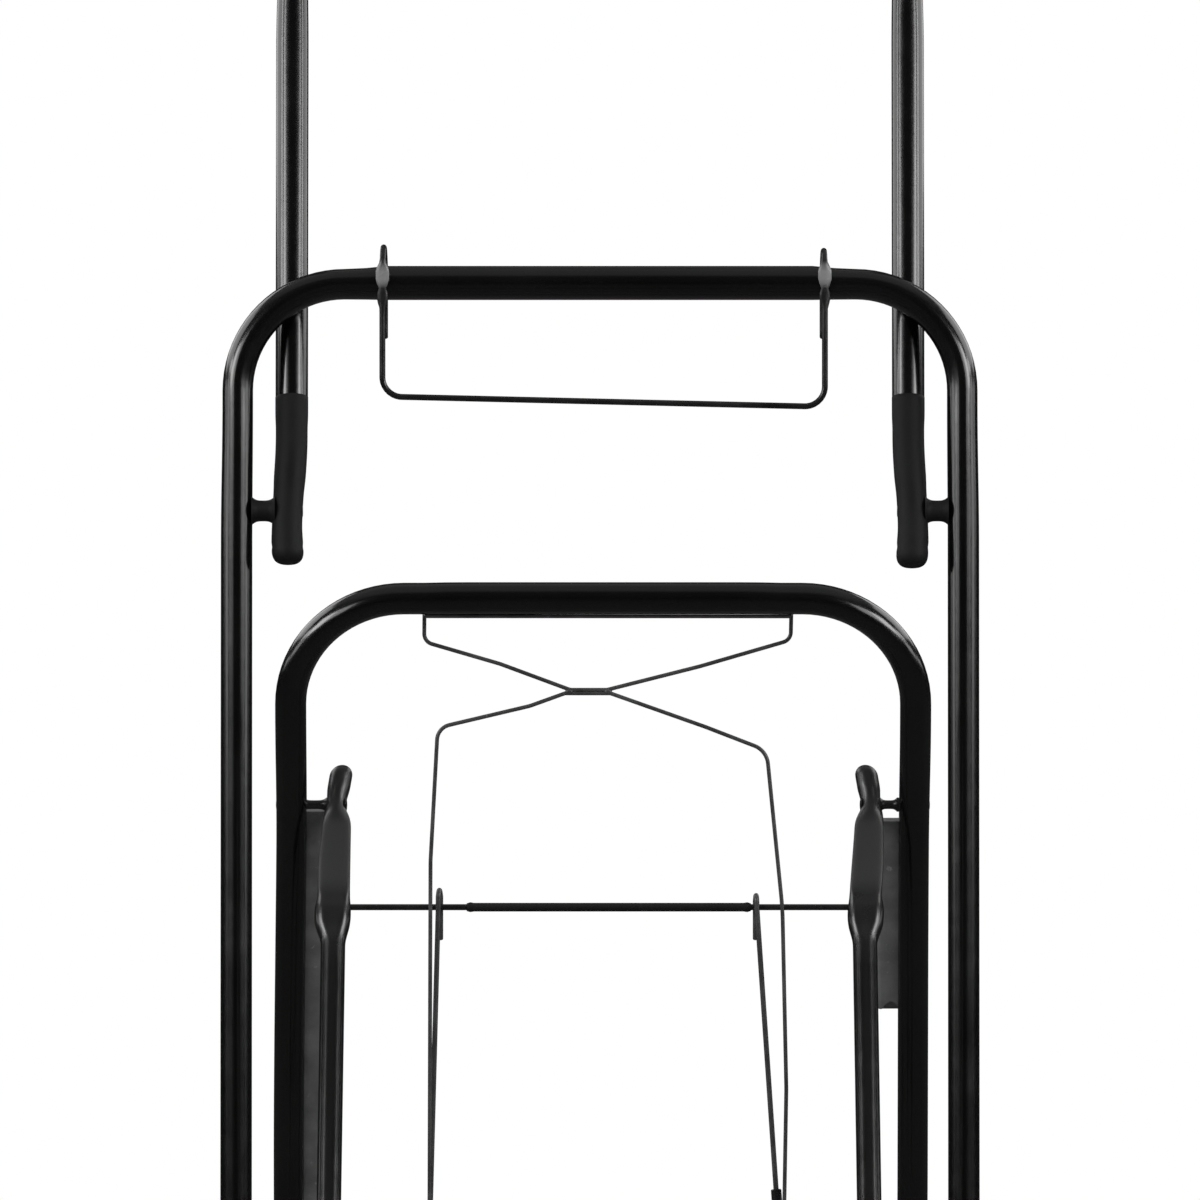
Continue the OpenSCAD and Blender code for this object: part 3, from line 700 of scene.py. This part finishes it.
def leg_rivet(name, side):
    """Rivet: shallow heads let into both tubes, and a shank that flares where it meets them."""
    head_r, dome, shank_r, flare = 4.3 * MM, 1.1 * MM, 2.5 * MM, 1.6 * MM
    leg = LEG_HALF + leg_shift(side, 0)
    near = side * (leg - TIP_R - 0.4 * MM)
    far = side * (INNER_HALF + 9.1 * MM) + inner_shift(side, (RIVET - REAR).length)
    gap_from = leg + TIP_R - 1.5 * MM - side * near
    gap_to = INNER_HALF - 8 * MM - side * near
    length = side * (far - near)
    head = [(dome * (1 - math.sin(a)), max(POLE, head_r * math.cos(a)))
            for a in (math.pi / 2, 1.2, 0.85, 0.5, 0.2, 0)]
    head += [(dome + 0.5 * MM, head_r), (dome + 0.6 * MM, shank_r)]
    shank = [(gap_from + (gap_to - gap_from) * k / 12, shank_r + flare * abs(k / 6 - 1) ** 4)
             for k in range(13)]
    tail = [(length - along, r) for along, r in reversed(head)]
    base = Vector((near, RIVET.y, RIVET.z))
    return mesh_piece(name, [lathe(head + shank + tail, base, X * side, 40)])


for side_name, side in SIDES:
    stand_in(front_leg(f"front_leg_{side_name}_tube", side), ENAMEL, f"front_leg_{side_name}")
    stand_in(leg_rivet(f"leg_rivet_{side_name}_domed", side), WIRE, f"leg_rivet_{side_name}")


# ---------------------------------------------------------------- cross rod and stop strips
def cross_rod():
    """Plain bar between the front legs."""
    low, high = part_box("cross_rod")
    profile = rod_profile(high.x - low.x, ROD_R, 0.5 * MM)
    return mesh_piece("cross_rod_bar", [lathe(profile, Vector((low.x, ROD.y, ROD.z)), X, 24)])


def rod_sleeve():
    """Sleeve over the rod's middle, with a small swaged bead near each end."""
    low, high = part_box("rod_sleeve")
    length, r = high.x - low.x, (high.z - low.z) / 2
    profile = [(0, ROD_R + PLAY)]
    for k in range(80):
        along = length * k / 79
        edge = min(along, length - along)
        bead = 0.35 * MM * bump_at(edge, 2 * MM, 0.6 * MM, 1.4 * MM)
        profile.append((along, r * (0.9 + 0.1 * min(1, edge / (0.5 * MM))) + bead))
    profile.append((length, ROD_R + PLAY))
    return mesh_piece("rod_sleeve_tube", [lathe(profile, Vector((low.x, ROD.y, ROD.z)), X, 28, looped=True)])


def stop_strip(name, side, node):
    """Welded strip behind an inner leg's inner side: rounded edges and an arched lower end."""
    low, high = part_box(node)
    behind = INNER_UP.cross(X)
    middle = centre(node).x
    width, thick, back, rounding = high.x - low.x, 9 * MM, 7 * MM, 1.5 * MM
    top = (high.z - REAR.z) / INNER_UP.z + (-4 if side > 0 else 2) * MM
    bottom = (low.z - REAR.z) / INNER_UP.z - 1 * MM
    arch_x, arch_half, arch_rise = middle + side * 0.4 * MM, 5 * MM, 5 * MM
    inset = (3 if side > 0 else 0) * MM
    sides = 48
    stations = [(bottom + rounding * (1 - math.cos(a)), 0.5 + 0.5 * math.sin(a), 1)
                for a in (0, 0.4, 0.8, 1.2, math.pi / 2)]
    count = max(4, round((top - bottom) / (10 * MM)))
    for k in range(1, count + 1):
        stations.append((bottom + rounding + (top - bottom - rounding) * k / count, 1, max(0, 1 - k / 3)))
    stations.append((top + 0.3 * MM, 0.93, 0))
    rings = []
    for h, share, arched in stations:
        ring = []
        for k in range(sides):
            a = math.tau * k / sides
            x = middle + math.copysign(abs(math.cos(a)) ** 0.4, math.cos(a)) * width / 2
            y = math.copysign(abs(math.sin(a)) ** 0.5, math.sin(a)) * thick / 2 * share
            y *= 1 - 0.35 * smooth_step(h, top - 9 * MM, top - 3 * MM)
            rise = arch_rise * max(0, 1 - ((x - arch_x) / arch_half) ** 2) * arched
            inner_edge = side * middle - width / 2 + inset * smooth_step(h, top - 12 * MM, top)
            x = side * max(side * x, inner_edge)
            ring.append(REAR + X * (x + inner_shift(side, h)) + INNER_UP * (h + rise) + behind * (back + y))
        rings.append(ring)
    return mesh_piece(name, [skin(rings)], 50)


stand_in(cross_rod(), WIRE, "cross_rod")
stand_in(rod_sleeve(), PLASTIC, "rod_sleeve")
for side_name, side in SIDES:
    node = f"leg_stop_{side_name}"
    stand_in(stop_strip(f"{node}_strip", side, node), STRIP, node)


# ---------------------------------------------------------------- wires
WIRE_PLAY = 0.35 * MM       # gap between a wire and the bar that it hangs on
TOP_BAIL_R, LOW_BAIL_R = 1.75 * MM, 1.5 * MM


def hook(x_free, x_leg, bar, reach, rise, tail):
    """Hook over a bar, from its free end behind the bar to its leg in front."""
    points = [Vector((x_free, bar.y + reach, bar.z - tail)), Vector((x_free, bar.y + reach, bar.z))]
    for k in range(15):
        f = k / 14
        a = math.pi * f
        points.append(Vector((x_free + (x_leg - x_free) * f, bar.y + reach * math.cos(a),
                              bar.z + rise + reach * math.sin(a))))
    return points + [Vector((x_leg, bar.y - reach, bar.z))]


def bail(free, top, low, bar, reach, rise, tails, low_z, bend):
    """Two hooks, two legs and a bottom wire in front of the bar. Pairs are left and right."""
    y = bar.y - reach
    a, b = Vector((top[0], y, bar.z)), Vector((low[0], y, low_z[0]))
    c, d = Vector((low[1], y, low_z[1])), Vector((top[1], y, bar.z))
    return (hook(free[0], top[0], bar, reach, rise[0], tails[0])
            + corner(a, b, c, bend, 9) + corner(b, c, d, bend, 9)
            + hook(free[1], top[1], bar, reach, rise[1], tails[1])[::-1])


def press_share(z):
    """How flat the top bail's wire is pressed at the height z: 1 where it lies on the bar's upper front,
    which is also where its painted highlight goes.
    """
    return bump_at(z, MAIN_BAR.z + 4.6 * MM, 2.4 * MM, 6 * MM)


def pressed_flat(p):
    """Half widths of the top bail: the wire is pressed wide where it lies on the bar."""
    if p.y > MAIN_BAR.y:
        return TOP_BAIL_R, TOP_BAIL_R
    wide = min(1, press_share(p.z) + 0.7 * bump_at(p.z, MAIN_BAR.z - 8 * MM, 1 * MM, 6 * MM))
    return TOP_BAIL_R + 2.1 * MM * wide, TOP_BAIL_R - 0.55 * MM * wide


def top_bail():
    """Bail on the main bar: its bottom wire slopes a little down to the right, and a highlight is painted
    where the wire is pressed on the bar.
    """
    free, legs = (-123.7 * MM, 128.1 * MM), (-125.1 * MM, 129.3 * MM)
    reach = TUBE_R + WIRE_PLAY + TOP_BAIL_R
    bottom = (MAIN_BAR.z - 65.2 * MM, MAIN_BAR.z - 71.1 * MM)
    route = bail(free, legs, legs, MAIN_BAR, reach, (9 * MM, 7 * MM), (31 * MM, 31 * MM), bottom, 11.4 * MM)
    shell = wire(filled_in(route, 3 * MM), TOP_BAIL_R, 18, X, section=pressed_flat)
    obj = mesh_piece("top_bail_wire", [shell])
    # Painted highlight: marks the pressed stretch in front of the bar, which the wire material paints pale
    # grey.
    painted_highlight = obj.data.attributes.new("painted_highlight", "FLOAT", "POINT")
    for vertex, value in zip(obj.data.vertices, painted_highlight.data):
        value.value = press_share(vertex.co.z) if vertex.co.y < MAIN_BAR.y else 0
    return obj


def lower_bail():
    """Long bail on the cross rod: its legs spread a little towards the bottom wire."""
    free, top, low = (-90.9 * MM, 88.6 * MM), (-92.2 * MM, 89.4 * MM), (-97 * MM, 101.8 * MM)
    reach = ROD_R + WIRE_PLAY + LOW_BAIL_R
    bottom = (222 * MM, 222 * MM)
    route = bail(free, top, low, ROD, reach, (6 * MM, 3 * MM), (18 * MM, 18 * MM), bottom, 9 * MM)
    return mesh_piece("lower_bail_wire", [wire(filled_in(route, 8 * MM), LOW_BAIL_R, 14, X)])


def bail_ferrule():
    """Crimped ring on the lower bail's right leg, low down."""
    up = Vector((-math.tan(math.radians(3.9)), 0, 1)).normalized()
    base = Vector((101.2 * MM, centre("bail_ferrule").y, 231 * MM))
    profile = ring_profile(12 * MM, 1.7 * MM, 3 * MM, 0.5 * MM)
    return mesh_piece("bail_ferrule_crimp", [lathe(profile, base, up, 32, looped=True)])


def hourglass():
    """Three wires in one plane behind the inner bar: pinched in the middle and welded there."""
    r = 1.15 * MM
    reach = TUBE_R + WIRE_PLAY + r
    under_reach = 9.55 * MM      # the bar is slimmer underneath
    y, z = INNER_BAR.y + reach, INNER_BAR.z

    def flat(points):
        return [Vector((a * MM, y, z + b * MM)) for a, b in points]

    def around(x, start, stop, step):
        points = []
        for degrees in range(start, stop, step):
            a = math.radians(degrees)
            here = reach + (under_reach - reach) * smooth_step(-degrees, 15, 75)
            points.append(Vector((x * MM, INNER_BAR.y + here * math.cos(a), z + here * math.sin(a))))
        return points

    upper = (around(-100, 45, 0, -5)
             + rounded(flat([(-100, 0), (-100.2, -24), (-57, -36.6), (-17, -51.4), (4, -51.4),
                             (57, -38), (108.7, -23), (109.2, 0)]),
                       [6 * MM, 30 * MM, 6 * MM, 6 * MM, 30 * MM, 6 * MM])
             + around(109.2, 5, 50, 5))
    lower = rounded(flat([(-20, -53.4), (-40, -60.6), (-92.5, -73), (-96.6, -149), (-97.2, -348), (105, -348),
                          (106.2, -279), (104, -176), (95, -86), (60, -72.5), (6, -53.4), (-20, -53.4)]),
                    [20 * MM, 9 * MM, 60 * MM, 6 * MM, 6 * MM, 120 * MM, 200 * MM, 12 * MM, 30 * MM, 4 * MM])
    under = around(-99.5, -10, -90, -8) + around(108.7, -90, -9, 8)
    shells = [wire(filled_in(upper, 10 * MM), r, 12, X),
              wire(filled_in(lower, 10 * MM)[:-1], r, 12, Y, looped=True),
              wire(filled_in(under, 10 * MM), r, 12, Y)]
    for x, h in ((-17.5, -52.4), (4.5, -52.4)):
        weld = [(2.4 * MM * math.cos(a), max(POLE, 1.9 * MM * math.sin(a)))
                for a in (math.pi * k / 10 for k in range(11))]
        shells.append(lathe(weld, flat([(x, h)])[0], X, 20))
    return mesh_piece("hourglass_bent_wire", shells)


stand_in(top_bail(), WIRE, "top_bail")
stand_in(lower_bail(), PALE_WIRE, "lower_bail")
stand_in(bail_ferrule(), WIRE, "bail_ferrule")
stand_in(hourglass(), PALE_WIRE, "hourglass_wire")


# ---------------------------------------------------------------- axles, plugs, washers and caps
def axle_piece(node, r, at, material):
    """Plain bar with bevelled ends."""
    low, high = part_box(node)
    base = Vector((low.x, at.y, at.z))
    shell = lathe(rod_profile(high.x - low.x, r, 0.8 * MM), base, X, 40)
    stand_in(mesh_piece(f"{node}_bar", [shell]), material, node)


def ring_piece(node, axle_r, at, material):
    """Sleeve, spacer or washer on an axle."""
    low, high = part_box(node)
    base = Vector((low.x, at.y, at.z))
    profile = ring_profile(high.x - low.x, axle_r + PLAY, (high.z - low.z) / 2, 0.4 * MM)
    shell = lathe(profile, base, X, 48, looped=True)
    stand_in(mesh_piece(f"{node}_ring", [shell]), material, node)


def cap_piece(node, side, at, r):
    """Push-on cap: a ribbed skirt, a rounded shoulder and a shallow dimple."""
    low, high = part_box(node)
    length, ribs = high.x - low.x, 24
    near = low.x if side > 0 else high.x
    profile = [(0.3 * MM, POLE), (0.3 * MM, r - 1.2 * MM), (0, r - 0.8 * MM), (0.2 * MM, r), (length / 2, r)]
    for a in quarter_turn(8)[1:]:
        profile.append((length / 2 * (1 + math.sin(a)), r - 0.45 * r * (1 - math.cos(a))))
    profile += [(length, r * 0.4), (length - 0.5 * MM, r * 0.3), (length - 0.7 * MM, POLE)]

    def ribbed(along, radius, angle):
        if radius < r * 0.9 or along < 0.25 * MM:
            return radius
        deep = 0.35 * MM * (1 - smooth_step(along, length * 0.35, length * 0.55))
        return radius - deep * max(0, math.cos(ribs * angle))

    shell = lathe(profile, Vector((near, at.y, at.z)), X * side, 192, radius=ribbed)
    stand_in(mesh_piece(f"{node}_moulding", [shell], 40), PLASTIC, node)


def plug_piece(node, base, up):
    """Foot plug: a flange with a rounded rim and a domed sole, and a short stem in the tube."""
    flange, stem, bore_r = 3 * MM, 6 * MM, TUBE_R - TUBE_WALL
    profile = [(stem, POLE), (stem, bore_r - 0.3 * MM), (0, bore_r - 0.1 * MM),
               (0, TUBE_R - 0.3 * MM), (-0.3 * MM, TUBE_R)]
    for a in quarter_turn(6):
        profile.append((-flange * (0.35 + 0.65 * math.sin(a)), TUBE_R - 2 * MM * (1 - math.cos(a))))
    profile.append((-flange, POLE))
    shell = lathe(profile, base, up, 48)
    stand_in(mesh_piece(f"{node}_moulding", [shell], 40), PLASTIC, node)


axle_piece("rear_axle", AXLE_R, REAR, ZINC)
axle_piece("front_axle", FRONT_AXLE_R, FRONT, ZINC)
ring_piece("front_axle_sleeve", FRONT_AXLE_R, FRONT, PLASTIC)
for side_name, side in SIDES:
    ring_piece(f"axle_spacer_{side_name}", AXLE_R, REAR, PLASTIC)
    ring_piece(f"wheel_washer_{side_name}", AXLE_R, REAR, ZINC)
    cap_piece(f"axle_cap_{side_name}", side, REAR, size("axle_cap_left").z / 2)
    cap_piece(f"front_cap_{side_name}", side, FRONT, size("front_cap_left").z / 2)
    plug_piece(f"main_plug_{side_name}", REAR + X * side * MAIN_HALF + MAIN_UP * MAIN_FOOT, MAIN_UP)
    plug_piece(f"inner_plug_{side_name}", REAR + X * side * INNER_HALF + INNER_UP * INNER_FOOT, INNER_UP)


# ---------------------------------------------------------------- wheels
def between(pair, share):
    return pair[0] + (pair[1] - pair[0]) * share


def mirrored(half):
    """The other half of a wheel's profile, from the last point back to the first."""
    return [(-along, r) for along, r in reversed(half)]


def spoke(middle, angle, ends, wide, thick):
    """Spoke with rounded edges, in the wheel's plane at that angle about X. Pairs are hub and rim."""
    out = Vector((0, math.cos(angle), math.sin(angle)))
    across = X.cross(out)
    rings = []
    for k in range(13):
        f = k / 12
        flare = 1 + 0.55 * (2 * f - 1) ** 4
        r, half_w, half_t = between(ends, f), between(wide, f) / 2 * flare, between(thick, f) / 2
        ring = []
        for j in range(20):
            a = math.tau * j / 20
            c, s = math.cos(a), math.sin(a)
            ring.append(middle + out * r + across * math.copysign(abs(c) ** 0.5, c) * half_w
                        + X * math.copysign(abs(s) ** 0.5, s) * half_t)
        rings.append(ring)
    return skin(rings)


def rim_piece(node, at, hub_half, hub_r, bore_r, seat_r, band_half, spokes):
    """Moulded rim: a dished band with lips, a stepped hub and tapered spokes, each with a rib."""
    middle = Vector((centre(node).x, at.y, at.z))
    lip = [(band_half - 0.6 * MM, seat_r), (band_half, seat_r - 0.6 * MM), (band_half, seat_r - 3.2 * MM),
           (band_half - 0.8 * MM, seat_r - 3.8 * MM), (band_half / 2, seat_r - 5.4 * MM)]
    band = lip + [(0, seat_r - 5.8 * MM)] + mirrored(lip)
    steps = [(hub_half - 6.6 * MM, hub_r), (hub_half - 6 * MM, hub_r - 0.6 * MM),
             (hub_half - 5 * MM, hub_r - 2.8 * MM), (hub_half - 0.6 * MM, hub_r - 3.4 * MM),
             (hub_half, hub_r - 4 * MM), (hub_half, bore_r + 0.5 * MM), (hub_half - 0.5 * MM, bore_r)]
    hub = steps + mirrored(steps)
    shells = [lathe(band, middle, X, 128, looped=True), lathe(hub, middle, X, 64, looped=True)]
    ends = (hub_r - 2 * MM, seat_r - 4 * MM)
    width = 2 * band_half
    for k in range(spokes):
        angle = math.tau * k / spokes
        shells.append(spoke(middle, angle, ends, (11 * MM, 8 * MM), (width - 6 * MM, width - 9 * MM)))
        shells.append(spoke(middle, angle, ends, (3.4 * MM, 3 * MM), (width - 1 * MM, width - 4 * MM)))
    stand_in(mesh_piece(f"{node}_moulding", shells, 35), WHEEL_PLASTIC, node)


def tyre_piece(node, at, seat_r, outer_r, half, blocks):
    """Solid tyre: round shoulders, a grooved tread of short blocks and a moulded line on each wall."""
    middle = Vector((centre(node).x, at.y, at.z))
    shoulder = 6 * MM
    right = [(0, outer_r), (half * 0.13, outer_r), (half * 0.17, outer_r - 1 * MM),
             (half * 0.25, outer_r - 1 * MM), (half * 0.29, outer_r - 0.04 * MM),
             (half - shoulder, outer_r - 0.1 * MM)]
    for a in quarter_turn(10)[1:]:
        right.append((half - shoulder * (1 - math.sin(a)), outer_r - shoulder * (1 - math.cos(a)) - 0.1 * MM))
    wall = outer_r - shoulder - seat_r
    right += [(half, seat_r + wall * 0.72), (half - 0.4 * MM, seat_r + wall * 0.62),
              (half, seat_r + wall * 0.52), (half - 0.2 * MM, seat_r + 0.8 * MM),
              (half - 1 * MM, seat_r + PLAY)]
    profile = mirrored(right[1:]) + right

    def tread(along, radius, angle):
        turn = (angle * blocks / math.tau + (0.5 if along > 0 else 0)) % 1
        groove = 1.1 * MM * bump_at(abs(turn - 0.5), 0, 0.06, 0.07)
        clear_of_middle = smooth_step(abs(along), half * 0.24, half * 0.3)
        near_top = smooth_step(radius, outer_r - 4 * MM, outer_r - 2.2 * MM)
        return radius - groove * clear_of_middle * near_top

    shell = lathe(profile, middle, X, blocks * 8, looped=True, radius=tread)
    stand_in(mesh_piece(f"{node}_tread", [shell], 50), TYRE, node)


REAR_R, FRONT_R = size("rear_tyre_left").z / 2, size("front_tyre_left").z / 2
REAR_SEAT, FRONT_SEAT = REAR_R - 16 * MM, FRONT_R - 12 * MM
REAR_HUB, FRONT_HUB = size("rear_rim_left").x / 2, size("front_rim_left").x / 2
TURNING = 0.06 * MM     # gap between an axle and a hub that turns on it
for side_name, _ in SIDES:
    rim_piece(f"rear_rim_{side_name}", REAR, REAR_HUB, 16 * MM, AXLE_R + TURNING, REAR_SEAT, 12 * MM, 6)
    tyre_piece(f"rear_tyre_{side_name}", REAR, REAR_SEAT, REAR_R, 14 * MM, 60)
    rim_piece(f"front_rim_{side_name}", FRONT, FRONT_HUB, 12 * MM, FRONT_AXLE_R + TURNING, FRONT_SEAT,
              10 * MM, 5)
    tyre_piece(f"front_tyre_{side_name}", FRONT, FRONT_SEAT, FRONT_R, 11 * MM, 44)


# ---------------------------------------------------------------- floor, light and camera
def floor():
    """Pale floor that runs into white far from the middle, as a curved studio sweep does."""
    half_side, fade = 14, (1.8, 6)
    bm = bmesh.new()
    bmesh.ops.create_grid(bm, x_segments=2, y_segments=2, size=half_side)
    mesh = bpy.data.meshes.new("floor")
    bm.to_mesh(mesh)
    bm.free()
    obj = bpy.data.objects.new("floor", mesh)
    bpy.context.scene.collection.objects.link(obj)
    obj.location.z = cad_box[0].z - 0.2 * MM
    material, tree, bsdf = new_material("floor_paint")
    cloud = noise(tree, coordinates(tree), 2, 3)
    tree.links.new(ramp(tree, cloud, [(0.2, 0.48), (0.8, 0.51)]), bsdf.inputs["Base Color"])
    bsdf.inputs["Roughness"].default_value = 0.9
    bsdf.inputs["Specular IOR Level"].default_value = 0.1
    length = tree.nodes.new("ShaderNodeVectorMath")
    length.operation = "LENGTH"
    tree.links.new(tree.nodes.new("ShaderNodeNewGeometry").outputs["Position"], length.inputs[0])
    away = tree.nodes.new("ShaderNodeMapRange")
    away.interpolation_type = "SMOOTHSTEP"
    away.inputs["From Min"].default_value, away.inputs["From Max"].default_value = fade
    tree.links.new(length.outputs["Value"], away.inputs["Value"])
    bsdf.inputs["Emission Color"].default_value = (1, 1, 1, 1)
    tree.links.new(away.outputs["Result"], bsdf.inputs["Emission Strength"])
    obj.data.materials.append(material)
    obj.visible_glossy = False


def softbox(name, place, target, wide, tall, power, in_reflections=True):
    """Rectangular light that faces the target and stays out of the picture itself."""
    data = bpy.data.lights.new(name, "AREA")
    data.shape = "RECTANGLE"
    data.size, data.size_y = wide, tall
    data.energy = power
    obj = bpy.data.objects.new(name, data)
    obj.location = place
    obj.rotation_euler = (Vector(target) - Vector(place)).to_track_quat("-Z", "Y").to_euler()
    obj.visible_camera = False
    obj.visible_glossy = in_reflections
    bpy.context.scene.collection.objects.link(obj)


def world():
    """White as seen; in the light and in reflections a dim room that grows paler overhead."""
    scene_world = bpy.data.worlds.new("studio")
    bpy.context.scene.world = scene_world
    scene_world.use_nodes = True
    tree = scene_world.node_tree
    direction = tree.nodes.new("ShaderNodeTexCoord").outputs["Generated"]
    split = tree.nodes.new("ShaderNodeSeparateXYZ")
    tree.links.new(direction, split.inputs["Vector"])
    height = tree.nodes.new("ShaderNodeMapRange")
    height.inputs["From Min"].default_value = -1
    tree.links.new(split.outputs["Z"], height.inputs["Value"])
    room = ramp(tree, height.outputs["Result"],
                [(0.0, 0.12), (0.35, 0.08), (0.5, 0.02), (0.84, 0.05), (0.93, 0.32), (1.0, 0.3)])
    path = tree.nodes.new("ShaderNodeLightPath")
    tree.links.new(mixed(tree, path.outputs["Is Camera Ray"], room, (1, 1, 1)),
                   tree.nodes["Background"].inputs["Color"])


# Panels in an arc on each side: degrees away from the front, distance, width, heights, brightness
PANELS = ((42, 3.0, 0.9, 1.22, 2.3, 4.2), (61, 3.0, 1.1, 1.22, 2.3, 10.5),
          (80, 5.0, 1.7, 2.05, 2.68, 7.6), (106, 1.1, 0.5, 0.95, 1.6, 2.6), (134, 1.1, 0.6, 0.86, 1.6, 2),
          (84, 3.0, 1.1, 0.86, 1.3, 3.4), (107, 3.0, 1.0, 0.86, 1.1, 2.2))
floor()
world()
for side_name, side in SIDES:
    for degrees, far, wide, low, high, bright in PANELS:
        a, middle, tall = math.radians(degrees), (low + high) / 2, high - low
        place = (side * far * math.sin(a), -far * math.cos(a), middle)
        softbox(f"panel_{degrees}_{far:.0f}_{side_name}", place, (0, 0, middle), wide, tall,
                bright * math.pi * wide * tall)
softbox("ceiling_fill", (0, 0, 7), (0, 0, 0), 14, 14, 1800, in_reflections=False)

VIEW_HEIGHT = 578.8 * MM      # height of the picture's middle
VIEW_WIDTH = 685.7 * MM       # width that the picture spans at the origin
camera_data = bpy.data.cameras.new("camera")
camera_data.lens = 1500
camera_data.sensor_width = 36
camera = bpy.data.objects.new("camera", camera_data)
distance = VIEW_WIDTH * camera_data.lens / camera_data.sensor_width
camera.location = (0, -distance, VIEW_HEIGHT)
camera.rotation_euler = (math.radians(90), 0, 0)
camera_data.clip_start, camera_data.clip_end = 1, 200
bpy.context.scene.collection.objects.link(camera)
bpy.context.scene.camera = camera
bpy.context.scene.view_settings.view_transform = "Standard"
